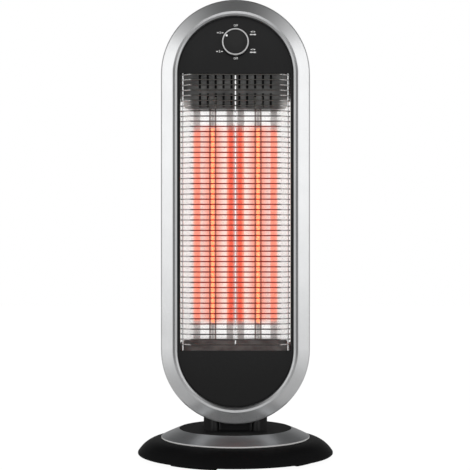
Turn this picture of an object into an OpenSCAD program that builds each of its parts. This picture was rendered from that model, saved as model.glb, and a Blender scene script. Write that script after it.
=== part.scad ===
// Free-standing carbon heater: a tall head with round ends, two carbon tubes behind a wire guard,
// on a short neck that swings on a round, weighted base. Millimetres, Z up, front towards -Y,
// origin on the floor under the middle of the base, on the swing axis.

/* [Head] */
// Width of the silver ring
head_w = 210; // [200:1:220]
// Height of the silver ring
head_h = 598; // [560:1:640]
// Depth from the swing axis to the front of the ring
head_front = 50; // [48:0.5:53]
// Depth of the silver ring, front to back
ring_depth = 26; // [25:0.5:29]
// Width of the ring's sloping face
ring_face_w = 17.3; // [16:0.1:18.5]
// Drop of the ring's face from its inner to its outer edge
ring_face_drop = 7.4; // [6:0.1:8]
// Width of the bevel inside the face, made of two facets
ring_bevel_w = 6.3; // [5.6:0.1:7]
// Wall of the ring
ring_wall = 2.4; // [2:0.1:2.8]
// Depth of the rear shell behind the ring
shell_depth = 68; // [62:1:78]
// Radius of the rear shell's back edge
shell_round = 28; // [24:1:30]
// Wall of the moulded shells
wall = 2.5; // [2:0.1:3]
// Number of case screws on each straight side
side_screws = 2; // [2:1:3]

/* [Fascia and window] */
// Depth of the fascia behind the ring's front
fascia_recess = 13; // [12:0.5:14]
// Thickness of the fascia
fascia_t = 2.5; // [2:0.1:3]
// Depth of the flange behind the fascia
fascia_flange = 2.5; // [2.4:0.1:3]
// Width of the fascia beside the window
window_side = 3.4; // [2.6:0.1:6]
// Height of the window
window_h = 392; // [370:1:396]

/* [Wire guard] */
// Diameter of the cross wires
wire_d = 1.8; // [1.4:0.1:2]
// Diameter of the uprights
upright_d = 2.2; // [1.8:0.1:2.2]
// Distance from one cross wire to the next
wire_pitch = 7.32; // [7:0.02:8.4]
// Distance from the window's side to the guard's flat front
guard_side = 13.5; // [12:0.5:16]
// How far the flat wires stand ahead of the fascia
guard_proud = 6; // [5:0.5:6.5]
// Angle at which the wires' ends turn back
guard_bend = 36; // [34:1:40]
// Length of the uprights hidden behind the fascia at each end
guard_tail = 6; // [4:0.5:8]

/* [Reflector] */
// Width of the wing beside each trough
wing_w = 18; // [17:0.5:21]
// How far the reflector's straight sides reach behind its flange
side_depth = 12; // [10:0.5:14]
// Width of the flat bottom of each trough
trough_flat = 38; // [30:1:40]
// Width of the ridge between the troughs
ridge_w = 6; // [5:0.5:8]
// Depth of the ridge behind the fascia's front
ridge_set = 29; // [28:0.5:30]
// Thickness of the reflector sheet
reflector_t = 1.2; // [1:0.1:1.4]
// Width of the reflector's side flange
reflector_flange = 10.5; // [9.5:0.5:11]
// Thickness of the panels above and below the reflector
panel_t = 0.8; // [0.6:0.1:1.2]
// Drop from the window's top to the reflector's top
vent_drop = 48; // [46:1:54]
// Rise from the window's bottom to the reflector's bottom
sill_rise = 14; // [13:0.5:18]
// How far the panels' ledges reach behind the ridge
ledge_depth = 23; // [22:0.5:25]
// Height of the panels' flanges behind the fascia
panel_flange = 13; // [12:0.5:16]
// Number of slots in a row of the vent panel
slot_count = 10; // [8:1:11]
// Distance from one slot to the next
slot_pitch = 11.2; // [9:0.1:11.2]
// Width of a slot
slot_w = 3.1; // [2:0.1:4]
// Height of a slot, measured upright
slot_h = 19.8; // [16:0.2:20]

/* [Tubes] */
// Outer diameter of the quartz tubes
tube_d = 10; // [9:0.5:10.5]
// Wall of the quartz tubes
tube_wall = 1; // [0.8:0.1:1.4]
// Distance of each tube outside the middle of its trough
tube_shift = 1; // [0:0.5:2]
// Length of the glowing carbon
glow_len = 284; // [240:2:300]
// Diameter of the carbon coil
filament_d = 4.8; // [3:0.1:5.4]
// Length of tube inside a ceramic cap
tube_seat = 12; // [9:0.5:12.5]
// Diameter of a ceramic cap's foot
cap_d = 14.4; // [14:0.2:14.6]
// Height of a ceramic cap's foot
cap_foot = 6; // [5:0.5:7]
// Height of a whole ceramic cap
cap_h = 16; // [15:0.5:18]

/* [Control] */
// Height of the knob, in percent of the way from the window up to the ring
knob_share = 54; // [50:1:58]
// Diameter of the knob
knob_d = 37.6; // [36:0.2:39]
// Diameter of the knob's dark face inside its silver rim
knob_face_d = 33.8; // [32:0.2:34.4]
// Depth of the whole knob
knob_h = 13.4; // [12:0.2:16]
// Depth of the silver rim
knob_rim_h = 4.4; // [3:0.2:6]
// Diameter of the switch shaft
shaft_d = 6; // [5:0.5:6.5]
// Turn of the knob's dot from straight up
knob_turn = 55; // [0:1:60]
// Width of the rotary switch's body
switch_w = 32; // [28:1:36]
// Depth of the rotary switch's body
switch_depth = 20; // [16:1:22]

/* [Back] */
// Width of one louvre slot
louvre_w = 52; // [40:1:56]
// Height of one louvre slot
louvre_h = 3.4; // [2.4:0.2:4]
// Distance from one louvre to the next
louvre_pitch = 8; // [7:0.2:10]
// Louvres in the upper field
louvres_high = 12; // [6:1:14]
// Louvres in the lower field
louvres_low = 9; // [4:1:10]
// Width of the carrying recess
grip_w = 104; // [90:1:110]
// Height of the carrying recess
grip_h = 28; // [24:1:29]
// Depth of the carrying recess
grip_depth = 26; // [20:1:28]
// Height of the carrying recess above the middle of the round end
grip_rise = 58.5; // [54:0.5:60]

/* [Neck] */
// Width of the neck
neck_w = 90; // [84:1:96]
// Depth of the neck
neck_d = 78; // [72:1:84]
// Radius of the neck's upright corners
neck_corner = 12; // [11:0.5:13]
// Gap between the turntable and the lowest point of the head
neck_gap = 10.5; // [9:0.5:16]
// Width of the neck's set-back front
neck_recess_w = 46; // [42:1:50]
// Depth of the neck's set-back front
neck_recess = 10; // [8:0.5:11]
// Diameter of the hollow spindle
spindle_d = 20; // [18:0.5:21]
// Bore of the spindle, which the leads pass through
spindle_bore = 15; // [12:0.5:15.5]

/* [Base] */
// Diameter of the base
base_d = 280; // [270:1:310]
// Height of the base, floor to the top of the turntable
base_h = 41; // [41:0.5:46]
// Diameter of the silver trim's outer edge
trim_d = 213; // [206:0.5:220]
// Drop of the silver trim from its inner to its outer edge
trim_drop = 11.4; // [10:0.2:12]
// Thickness of the silver trim
trim_t = 1.8; // [1.4:0.1:2]
// Diameter of the turntable
table_d = 160; // [150:1:166]
// Thickness of the turntable
table_t = 2.5; // [2:0.1:3]
// Outward bulge of the base's black dome
dome_bulge = 4.5; // [3.5:0.1:4.9]
// Thickness of the foot pads
foot_t = 5; // [4:0.5:5]
// Width of a foot pad
foot_w = 12; // [8:0.5:14]
// Distance from the base's edge to the middle of a foot pad
foot_inset = 23; // [22:1:34]
// Angle that one foot pad covers
foot_angle = 34; // [24:1:44]
// Turn of the foot pads from the right-hand side
foot_turn = 60.5; // [45:0.5:70]
// Thickness of the base plate
plate_t = 2; // [1.6:0.1:2.2]
// Height of the ballast
ballast_h = 8; // [4:0.5:8.5]
// Distance from the base's edge to the ballast
ballast_inset = 22; // [21:1:30]
// Width of the ballast ring
ballast_w = 28; // [16:1:28]

/* [Swing drive] */
// Swing of the head to each side
swing = 34; // [25:1:36]
// Radius of the lever on the spindle
lever_r = 16; // [15:0.5:17]
// Length of the link, hole to hole
link_len = 50; // [48:1:52]
// Crank turn for each degree of swing
crank_ratio = 2; // [1.8:0.1:2.2]
// Diameter of the crank and lever pins
pin_d = 4; // [3:0.5:4]
// Diameter of the swing motor
motor_d = 50; // [42:1:50]
// Height of the swing motor
motor_h = 12.5; // [11:0.5:12.5]

/* [Tip-over switch] */
// Travel of the plunger when the heater is lifted
plunger_travel = 5; // [3:0.5:5]
// Diameter of the plunger's foot
plunger_d = 8; // [6:0.5:10]
// Wire diameter of the plunger spring
spring_wire = 0.7; // [0.5:0.1:0.8]
// Number of curls of the plunger spring
spring_turns = 5; // [4:1:6]

/* [Clearances] */
// Radial clearance of a running fit
run_gap = 0.06; // [0.03:0.01:0.1]
// Clearance between moving faces
slide_gap = 0.1; // [0.1:0.05:0.2]
// Clearance between a piece and the seat that it rests in
seat_gap = 0.2; // [0.1:0.05:0.3]
// Clearance between neighbours that don't bear on each other
free_gap = 0.3; // [0.3:0.05:0.4]

/* [Hidden] */
$fn = 64;

// Levels of the head, measured forward from the swing axis
ring_front = head_front;
ring_rear = head_front - ring_depth;
ring_lip = ring_front - 3;
fascia_front = head_front - fascia_recess;
fascia_rear = fascia_front - fascia_t;
seat = fascia_rear - fascia_flange;
ridge = fascia_front - ridge_set;
back = ring_rear - shell_depth;
back_inner = back + wall;
guard_front = fascia_front + guard_proud;

// Levels of the base, measured up from the floor
floor_in = foot_t + plate_t;
table_under = base_h - table_t;
deck_top = table_under - 2;
deck_under = deck_top - wall;
boss_under = deck_top - 7.7;
motor_top = floor_in + motor_h;
crank_under = motor_top + 1.3;
crank_t = 2;
link_under = crank_under + crank_t + free_gap;
link_t = 2;
lever_under = link_under + link_t + free_gap;
lever_t = 1.8;

// Outline of the head
ring_r = head_w / 2;
head_bottom = base_h + neck_gap;
low_centre = head_bottom + ring_r;
high_centre = head_bottom + head_h - ring_r;
straight = high_centre - low_centre;
middle = (low_centre + high_centre) / 2;
face_in_r = ring_r - ring_face_w;
ring_in_r = face_in_r - ring_bevel_w;
plate_r = ring_in_r + 4.1;
flange_r = ring_r - 7;
shell_r = ring_r - 1.3;
tongue_r = ring_r - ring_wall - free_gap;
case_screw_r = ring_r - 10;
case_screw_d = 3;
head_d = 6;
head_t = 1.6;
small_head_d = 4.6;

// Window, reflector and tubes
window_w = 2 * (ring_in_r - window_side);
window_top = middle + window_h / 2;
window_bottom = middle - window_h / 2;
ledge_high = window_top - vent_drop;
ledge_low = window_bottom + sill_rise;
ledge_front = ridge + 8;
trough_w = (window_w - ridge_w) / 2 - wing_w;
trough_x = (ridge_w + trough_w) / 2;
trough_end = ridge_w / 2 + trough_w;
ledge_back = ridge - ledge_depth;
wing_front = seat - side_depth;
tube_x = trough_x + tube_shift;
tube_f = ridge;
tube_low = ledge_low - panel_t - tube_seat;
tube_high = ledge_high + panel_t + tube_seat;
knob_up = window_top + (high_centre + ring_in_r - window_top) * knob_share / 100;

// Wire guard
guard_flat_w = window_w - 2 * guard_side;
wire_top_margin = 2.4;
wire_foot_margin = 8;
wire_count = floor((window_h - wire_top_margin - wire_foot_margin) / wire_pitch) + 1;
side_upright_f = seat + slide_gap + upright_d / 2;
weld_gap = 0.05;
bend_drop = guard_front - side_upright_f - ((wire_d + upright_d) / 2 + weld_gap) / cos(guard_bend);
side_upright_x = guard_flat_w / 2 + bend_drop / tan(guard_bend);
wire_tip_x = window_w / 2 - 1;

// Round an outline: points on an arc, and points between two ends that bulge to the left
function arc(c, r, a0, a1, n) = [for (i = [0:n]) c + r * [cos(a0 + (a1 - a0) * i / n),
  sin(a0 + (a1 - a0) * i / n)]];
function bulge(p, q, s, n) = let (d = q - p, m = [-d[1], d[0]] / norm(d))
  [for (i = [0:n]) let (t = i / n) p + t * d + 4 * s * t * (1 - t) * m];
function flip(points) = [for (i = [len(points) - 1:-1:0]) [-points[i][0], points[i][1]]];
function back_to_front(points) = [for (i = [len(points) - 1:-1:0]) points[i]];
function shifted(points, d) = [for (p = points) p + d];

// The head is drawn in front view: X to the right, Y up from the floor, Z forward from the swing axis
module in_front_view() { rotate([90, 0, 0]) children(); }

// A profile of [distance from the outline's middle, forward] carried round the head's outline
module round_outline(profile) {
  translate([0, high_centre, 0]) rotate_extrude(angle = 180) polygon(profile);
  translate([0, low_centre, 0]) mirror([0, 1, 0]) rotate_extrude(angle = 180) polygon(profile);
  for (side = [0, 1])
    mirror([side, 0, 0])
      translate([0, high_centre, 0]) rotate([90, 0, 0]) linear_extrude(height = straight) polygon(profile);
}

// A flat plate with the head's outline at radius r, between two levels
module outline_plate(r, rear, front) {
  translate([-r, low_centre, rear]) cube([2 * r, straight, front - rear]);
  for (up = [low_centre, high_centre]) translate([0, up, rear]) cylinder(r = r, h = front - rear);
}

// Upright holes, bosses and bars: a cylinder forward from rear to front at [x, up]
module forward_rod(x, up, r, rear, front) { translate([x, up, rear]) cylinder(r = r, h = front - rear); }
// A cylinder up from low to high at [x, forward]
module upright_rod(x, f, r, low, high) { translate([x, low, f]) rotate([-90, 0, 0]) cylinder(r = r,
  h = high - low); }
// A box between two corners
module block(a, b) { translate(a) cube(b - a); }
// A screw that points up: head below z = 0, shank above it
module screw(shank_d, shank, head_d, head) {
  cylinder(d = shank_d, h = shank);
  translate([0, 0, -head])
    difference() {
      cylinder(d = head_d, h = head);
      translate([-head_d * 0.35, -0.4, -1]) cube([head_d * 0.7, 0.8, 1 + head * 0.4]);
      translate([-0.4, -head_d * 0.35, -1]) cube([0.8, head_d * 0.7, 1 + head * 0.4]);
    }
}

// Case screws: on the straight sides and round both ends
end_screw_angle = 50;
case_screw_places = concat(
  [for (s = [-1, 1], i = [1:side_screws])
    [s * case_screw_r, low_centre + straight * (2 * i - 1) / (2 * side_screws)]],
  [for (s = [-1, 1], e = [-1, 1])
    [s * case_screw_r * cos(end_screw_angle),
      (e > 0 ? high_centre : low_centre) + e * case_screw_r * sin(end_screw_angle)]]);
case_seat = ridge;
case_boss_d = 11;
case_head_d = 6.6;
ring_boss_d = 7;
ring_boss_front = ring_front - 6;

module front_ring() {
  outer = concat(
    [[ring_r, ring_rear], [ring_r, ring_front - ring_face_drop - 2]],
    [[ring_r - 1.6, ring_front - ring_face_drop], [face_in_r, ring_front]],
    [[ring_in_r + ring_bevel_w / 2, ring_lip + 2.2], [ring_in_r, ring_lip],
      [ring_in_r + 0.6, fascia_front]]);
  inner = [[plate_r - 0.8, fascia_front], [plate_r - 0.8, ring_lip - 2],
    [face_in_r + 1.6, ring_front - 3.2],
    [ring_r - ring_wall - 0.8, ring_front - ring_face_drop - 1.7],
    [ring_r - ring_wall, ring_front - ring_face_drop - 3.4], [ring_r - ring_wall, ring_rear]];
  color("silver") in_front_view()
    difference() {
      union() {
        round_outline(concat(outer, inner));
        for (p = case_screw_places) forward_rod(p[0], p[1], ring_boss_d / 2, fascia_rear, ring_boss_front);
      }
      for (p = case_screw_places)
        forward_rod(p[0], p[1], case_screw_d / 2 + run_gap, fascia_rear - 1, ring_boss_front - 2);
    }
}

// Screws that hold the reflector and its two panels to the back of the fascia
panel_screw_x = window_w / 2 - 23;
panel_screw_up = 8;
small_screw_d = 2.6;
reflector_screw_x = window_w / 2 + 4.2;
reflector_screw_step = window_h * 0.3;
panel_screw_places = [for (s = [-1, 1], up = [window_bottom - panel_screw_up, window_top + panel_screw_up])
  [s * panel_screw_x, up]];
reflector_screw_places = [for (s = [-1, 1], i = [-1:1])
  [s * reflector_screw_x, middle + i * reflector_screw_step]];
bush_d = 9.6;
switch_screw_x = 13;
switch_screw_d = 3;

module front_fascia() {
  color([0.12, 0.12, 0.12]) in_front_view()
    difference() {
      union() {
        difference() {
          union() {
            outline_plate(plate_r, fascia_rear, fascia_front);
            outline_plate(flange_r, seat, fascia_rear);
          }
          translate([0, 0, seat - 1]) outline_plate_cut();
        }
        for (p = panel_screw_places) forward_rod(p[0], p[1], 4, seat, fascia_rear + 1);
      }
      block([-window_w / 2, window_bottom, seat - 1], [window_w / 2, window_top, fascia_front + 1]);
      for (p = case_screw_places) forward_rod(p[0], p[1], case_screw_d / 2 + seat_gap, seat - 1,
        fascia_rear + 1);
      for (p = concat(panel_screw_places, reflector_screw_places))
        forward_rod(p[0], p[1], small_screw_d / 2 + run_gap, seat - 1, fascia_rear + fascia_t / 2);
      forward_rod(0, knob_up, bush_d / 2 + seat_gap, fascia_rear - 1, fascia_front + 1);
      for (s = [-1, 1]) {
        forward_rod(s * switch_screw_x, knob_up, switch_screw_d / 2 + seat_gap, fascia_rear - 1,
          fascia_front + 1);
        translate([s * switch_screw_x, knob_up, fascia_front - 1.5])
          cylinder(r1 = switch_screw_d / 2 + slide_gap, r2 = switch_screw_d / 2 + 1.5 + slide_gap, h = 1.5);
      }
    }
}

// The hollow inside the fascia's rear flange: as wide as the window, round at the ends
module outline_plate_cut() {
  r = window_w / 2;
  depth = fascia_flange + 1;
  translate([-r, low_centre, 0]) cube([2 * r, straight, depth]);
  for (up = [low_centre, high_centre]) translate([0, up, 0]) cylinder(r = r, h = depth);
}

// Rear shell: tongue inside the ring, shoulder against the ring, round back edge
shell_back_r = shell_r - shell_round;
shell_bend_f = back + shell_round;
spindle_r = spindle_d / 2;
shelf_top = head_bottom + 14.5;
shelf_t = 6;
shelf_w = 90;
shelf_front = 20;
shelf_back = -18;
tongue_len = 6;
grip_up = high_centre + grip_rise;
louvre_high_up = ledge_high - louvre_pitch * louvres_high;
louvre_low_up = window_bottom - 18;
louvre_gap = 10;
field_high = [for (i = [0:louvres_high - 1]) louvre_high_up + i * louvre_pitch];
field_low = [for (i = [0:louvres_low - 1]) louvre_low_up + i * louvre_pitch];

// The rear shell's outer form filled in, set in by some distance
module shell_form(inset) {
  round_outline(concat([[0, back + inset]], arc([shell_back_r, shell_bend_f], shell_round - inset, -90, 0,
    8),
    [[shell_r - inset, ring_rear], [0, ring_rear]]));
}
// A slot with round ends, drawn in front view, centred at [0, up]
module long_hole(up, w, h, rear, front) {
  half = (w - h) / 2;
  block([-half, up - h / 2, rear], [half, up + h / 2, front]);
  for (s = [-1, 1]) forward_rod(s * half, up, h / 2, rear, front);
}

module rear_shell() {
  outer = concat([[0, back]], arc([shell_back_r, shell_bend_f], shell_round, -90, 0, 8),
    [[shell_r, ring_rear], [tongue_r, ring_rear], [tongue_r, ring_rear + tongue_len]]);
  inner = concat([[tongue_r - wall, ring_rear + tongue_len], [tongue_r - wall, ring_rear - tongue_len / 2],
    [shell_r - wall, ring_rear - 5]],
    arc([shell_back_r, shell_bend_f], shell_round - wall, 0, -90, 8), [[0, back_inner]]);
  color([0.13, 0.13, 0.13]) in_front_view()
    difference() {
      union() {
        round_outline(concat(outer, inner));
        for (p = case_screw_places) forward_rod(p[0], p[1], case_boss_d / 2, ring_rear - 1, seat);
        intersection() {
          shell_form(0.8);
          union() {
            for (p = case_screw_places) forward_rod(p[0], p[1], case_boss_d / 2, back, ring_rear);
            block([-shelf_w / 2, shelf_top - shelf_t, shelf_back], [shelf_w / 2, shelf_top, shelf_front]);
            long_hole(grip_up, grip_w + 4, grip_h + 4, back, back + grip_depth + 2);
          }
        }
      }
      for (p = case_screw_places) {
        forward_rod(p[0], p[1], case_screw_d / 2 + seat_gap, case_seat - 1, seat + 1);
        forward_rod(p[0], p[1], case_head_d / 2 + free_gap, back - 1, case_seat);
      }
      long_hole(grip_up, grip_w, grip_h, back - 1, back + grip_depth);
      for (s = [0, 1], up = concat(field_high, field_low))
        mirror([s, 0, 0])
          block([louvre_gap / 2, up, back - 1], [louvre_gap / 2 + louvre_w, up + louvre_h, back_inner + 1]);
      upright_rod(0, 0, spindle_r + free_gap, head_bottom - 1, shelf_top + 1);
      for (p = spindle_screw_places)
        upright_rod(p[0], p[1], case_screw_d / 2 + run_gap, shelf_top - shelf_t - 1, shelf_top + 1);
    }
}

// One guard wire at the level of its flat front: a straight run, and a tip turned back at each end
module guard_wire() {
  bend = guard_flat_w / 2;
  translate([-bend, 0, guard_front]) rotate([0, 90, 0]) cylinder(d = wire_d, h = 2 * bend);
  for (s = [0, 1])
    mirror([s, 0, 0])
      translate([bend, 0, guard_front]) {
        sphere(d = wire_d + 0.02);
        rotate([0, 90 + guard_bend, 0]) cylinder(d = wire_d, h = (wire_tip_x - bend) / cos(guard_bend));
      }
}

module guard_cross_wires() {
  color([0.8, 0.8, 0.8]) in_front_view()
    for (i = [0:wire_count - 1])
      translate([0, window_top - wire_top_margin - i * wire_pitch, 0]) guard_wire();
}

module guard_uprights() {
  centre_f = guard_front - (wire_d + upright_d) / 2 - weld_gap;
  last_wire = window_top - wire_top_margin - (wire_count - 1) * wire_pitch;
  color([0.8, 0.8, 0.8]) in_front_view() {
    upright_rod(0, centre_f, upright_d / 2, last_wire - 1, window_top - wire_top_margin + 1);
    for (s = [-1, 1])
      upright_rod(s * side_upright_x, side_upright_f, upright_d / 2,
        window_bottom - guard_tail, window_top + guard_tail);
  }
}

// Side of a trough in plan, from its edge to its flat bottom, as [x from the trough's middle, forward]:
// a parabola that has the tube in its focus
trough_side = [for (i = [0:8]) let (x = trough_w / 2 - (trough_w - trough_flat) / 2 * i / 8)
  [x, ridge + (x * x - trough_w * trough_w / 4) / trough_w]];
trough = concat(shifted(trough_side, [trough_x, 0]), shifted(flip(trough_side), [trough_x, 0]));

// The reflector in plan: flange, straight side, wing and trough on each side of the ridge
module reflector() {
  edge = window_w / 2;
  back_corner = wing_front - reflector_t + reflector_t * (wing_front - ridge) / wing_w;
  front_half = concat([[edge + reflector_flange, seat], [edge, seat], [edge, wing_front]], trough);
  rear_half = concat([[edge + reflector_flange, seat - reflector_t], [edge + reflector_t, seat - reflector_t],
    [edge + reflector_t, back_corner]], shifted(trough, [0, -reflector_t]));
  color([0.85, 0.85, 0.87]) in_front_view()
    difference() {
      translate([0, window_top, 0]) rotate([90, 0, 0]) linear_extrude(height = window_h)
        polygon(concat(front_half, flip(front_half), back_to_front(concat(rear_half, flip(rear_half)))));
      block([-trough_end - 0.2, ledge_high, back], [trough_end + 0.2, window_top + 1, seat + 1]);
      block([-trough_end - 0.2, window_bottom - 1, back], [trough_end + 0.2, ledge_low, seat + 1]);
      for (p = reflector_screw_places)
        forward_rod(p[0], p[1], small_screw_d / 2 + seat_gap, seat - reflector_t - 1, seat + 1);
    }
}

// A bent panel: flange behind the fascia, slope back to the ledge, lip at the rear, as [up, forward]
module bent_panel(edge, ledge, away) {
  slope_len = norm([edge - ledge, seat - ledge_front]);
  back_off = panel_t * slope_len / abs(edge - ledge);
  front_face = [[edge + away * panel_flange, seat], [edge, seat], [ledge, ledge_front], [ledge, ledge_back],
    [ledge + away * 8, ledge_back], [ledge + away * 8, ledge_back + panel_t],
    [ledge + away * panel_t, ledge_back + panel_t],
    [ledge + away * panel_t, ledge_front - back_off + panel_t * (seat - ledge_front) / abs(edge - ledge)],
    [edge + away * (back_off - panel_t) * abs(edge - ledge) / (seat - ledge_front), seat - panel_t],
    [edge + away * panel_flange, seat - panel_t]];
  side = window_w / 2 - 0.6;
  plan = [[side, seat + 1], [side, wing_front], [side - wing_w, ridge], [side - wing_w, ledge_back - 1]];
  difference() {
    intersection() {
      rotate([90, 0, 90]) translate([0, 0, -window_w / 2]) linear_extrude(height = window_w)
        polygon(front_face);
      translate([0, max(edge, ledge) + 2 * panel_flange, 0]) rotate([90, 0, 0])
        linear_extrude(height = abs(edge - ledge) + 4 * panel_flange) polygon(concat(plan, flip(plan)));
    }
    for (s = [-1, 1]) {
      upright_rod(s * tube_x, tube_f, tube_d / 2 + 0.6, ledge - 2, ledge + 2);
      upright_rod(s * foot_screw_x, foot_screw_f, small_screw_d / 2 + run_gap, ledge - 2, ledge + 2);
      forward_rod(s * panel_screw_x, edge + away * panel_screw_up, small_screw_d / 2 + seat_gap, seat - 3,
        seat + 1);
    }
  }
}

slot_edge = 0.7;
slot_gap = vent_drop - 2 * slot_h - 3 * slot_edge;

module vent_panel() {
  color([0.25, 0.25, 0.25]) in_front_view()
    difference() {
      bent_panel(window_top, ledge_high, 1);
      for (row = [0, 1], i = [0:slot_count - 1]) {
        x = (i - (slot_count - 1) / 2) * slot_pitch;
        low = window_top - slot_edge - slot_h - row * (slot_h + slot_gap);
        block([x - slot_w / 2, low, ridge], [x + slot_w / 2, low + slot_h, seat + 2]);
      }
    }
}

module sill_panel() {
  color([0.25, 0.25, 0.25]) in_front_view() bent_panel(window_bottom, ledge_low, -1);
}

// The quartz tubes and what they hold
module quartz_tube(s) {
  in_front_view()
    difference() {
      upright_rod(s * tube_x, tube_f, tube_d / 2, tube_low, tube_high);
      upright_rod(s * tube_x, tube_f, tube_d / 2 - tube_wall, tube_low - 1, tube_high + 1);
    }
}
module quartz_tube_left() { color([0.9, 0.9, 0.9, 0.5]) quartz_tube(-1); }
module quartz_tube_right() { color([0.9, 0.9, 0.9, 0.5]) quartz_tube(1); }

glow_middle = (ledge_low + ledge_high) / 2;
glow_low = glow_middle - glow_len / 2;
glow_high = glow_middle + glow_len / 2;
module carbon_coil(s) { in_front_view() upright_rod(s * tube_x, tube_f, filament_d / 2, glow_low,
  glow_high); }
module carbon_coil_left() { color([1, 0.45, 0.1]) carbon_coil(-1); }
module carbon_coil_right() { color([1, 0.45, 0.1]) carbon_coil(1); }

// Metal tails that join each end of the carbon to its cap
tail_d = 1.6;
clasp_len = 6;
module coil_tails() {
  color([0.6, 0.6, 0.6]) in_front_view()
    for (s = [-1, 1]) {
      upright_rod(s * tube_x, tube_f, tail_d / 2, glow_high, tube_high + 1);
      upright_rod(s * tube_x, tube_f, filament_d / 2 - 0.4, glow_high, glow_high + clasp_len);
      upright_rod(s * tube_x, tube_f, tail_d / 2, tube_low - 1, glow_low);
      upright_rod(s * tube_x, tube_f, filament_d / 2 - 0.4, glow_low - clasp_len, glow_low);
    }
}

cap_neck_d = 13;
module tube_cap() {
  difference() {
    union() {
      cylinder(d = cap_d, h = cap_foot);
      cylinder(d = cap_neck_d, h = cap_h);
    }
    translate([0, 0, -1]) cylinder(d = tube_d + 2 * slide_gap, h = tube_seat + 1.05);
    cylinder(d = tail_d + 2 * slide_gap, h = tube_seat + 1.2);
    translate([0, 0, tube_seat + 2]) cylinder(d = lead_d + 2 * slide_gap, h = cap_h);
  }
}

module tube_caps() {
  color([0.92, 0.9, 0.85]) in_front_view()
    for (s = [-1, 1]) {
      translate([s * tube_x, ledge_high + panel_t, tube_f]) rotate([-90, 0, 0]) tube_cap();
      translate([s * tube_x, ledge_low - panel_t, tube_f]) rotate([90, 0, 0]) tube_cap();
    }
}

// Brackets that clamp the caps to the ledges: a plate on two legs with outward feet
bracket_half = tube_x + cap_d / 2 + 8.3;
foot_screw_x = bracket_half + 4;
foot_screw_f = ledge_back + 5.5;
bracket_t = 1.2;
bracket_rise = panel_t + cap_foot + slide_gap;
module tube_bracket(ledge, away) {
  top = ledge + away * bracket_rise;
  leg_back = ledge_back + 2;
  leg_front = ledge_back + 9;
  difference() {
    union() {
      upright_slab(-bracket_half, bracket_half, top, top + away * bracket_t, leg_back, tube_f + 8.2);
      for (s = [-1, 1]) {
        upright_slab(s * (bracket_half - bracket_t), s * bracket_half, ledge + away * panel_t,
          top + away * bracket_t, leg_back, leg_front);
        upright_slab(s * bracket_half, s * (foot_screw_x + 4), ledge + away * panel_t,
          ledge + away * (panel_t + bracket_t), leg_back, leg_front);
      }
    }
    for (s = [-1, 1]) {
      upright_rod(s * tube_x, tube_f, cap_neck_d / 2 + seat_gap, min(ledge, top) - 4, max(ledge, top) + 4);
      upright_rod(s * foot_screw_x, foot_screw_f, small_screw_d / 2 + seat_gap, ledge - 4, ledge + 4);
    }
  }
}
// A box between two places on each axis, given in either order
module upright_slab(xa, xb, ua, ub, fa, fb) {
  block([min(xa, xb), min(ua, ub), min(fa, fb)], [max(xa, xb), max(ua, ub), max(fa, fb)]);
}
module tube_bracket_upper() { color([0.7, 0.7, 0.7]) in_front_view() tube_bracket(ledge_high, 1); }
module tube_bracket_lower() { color([0.7, 0.7, 0.7]) in_front_view() tube_bracket(ledge_low, -1); }

module bracket_screws() {
  foot_top = panel_t + bracket_t;
  color([0.75, 0.75, 0.75]) in_front_view()
    for (s = [-1, 1]) {
      translate([s * foot_screw_x, ledge_high + foot_top, foot_screw_f]) rotate([90, 0, 0])
        screw(small_screw_d, 5, small_head_d, head_t);
      translate([s * foot_screw_x, ledge_low - foot_top, foot_screw_f]) rotate([-90, 0, 0])
        screw(small_screw_d, 5, small_head_d, head_t);
    }
}

// Thermal cut-out on the upper bracket, between the caps
cutout_h = 7;
cutout_tab = 7;
cutout_d = 15;
cutout_plate_w = 22;
cutout_plate_d = 8;
tab_x = 4;
tab_t = 0.8;
tab_d = 6;
module thermal_cutout() {
  low = ledge_high + bracket_rise + bracket_t;
  color([0.15, 0.15, 0.15]) in_front_view() {
    upright_rod(0, 0, cutout_d / 2, low, low + cutout_h);
    block([-cutout_plate_w / 2, low, -cutout_plate_d / 2],
      [cutout_plate_w / 2, low + 1, cutout_plate_d / 2]);
    for (s = [-1, 1])
      block([s * tab_x - tab_t / 2, low + cutout_h - 1, -tab_d / 2],
        [s * tab_x + tab_t / 2, low + cutout_h + cutout_tab, tab_d / 2]);
  }
}

terminal_w = 44;
terminal_h = 14;
terminal_d = 16;
terminal_pitch = 13;
lead_room = 22;
cap_foot_end = ledge_low - panel_t - tube_seat - 2;
terminal_up = cap_foot_end - lead_room - terminal_h;
module terminal_block() {
  color([0.9, 0.88, 0.8]) in_front_view()
    difference() {
      block([-terminal_w / 2, terminal_up, back_inner + slide_gap],
        [terminal_w / 2, terminal_up + terminal_h, back_inner + terminal_d]);
      for (i = [-1:1])
        forward_rod(i * terminal_pitch, terminal_up + terminal_h / 2, terminal_pitch / 5,
          back_inner + terminal_d - 3,
          ridge);
    }
}

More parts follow.
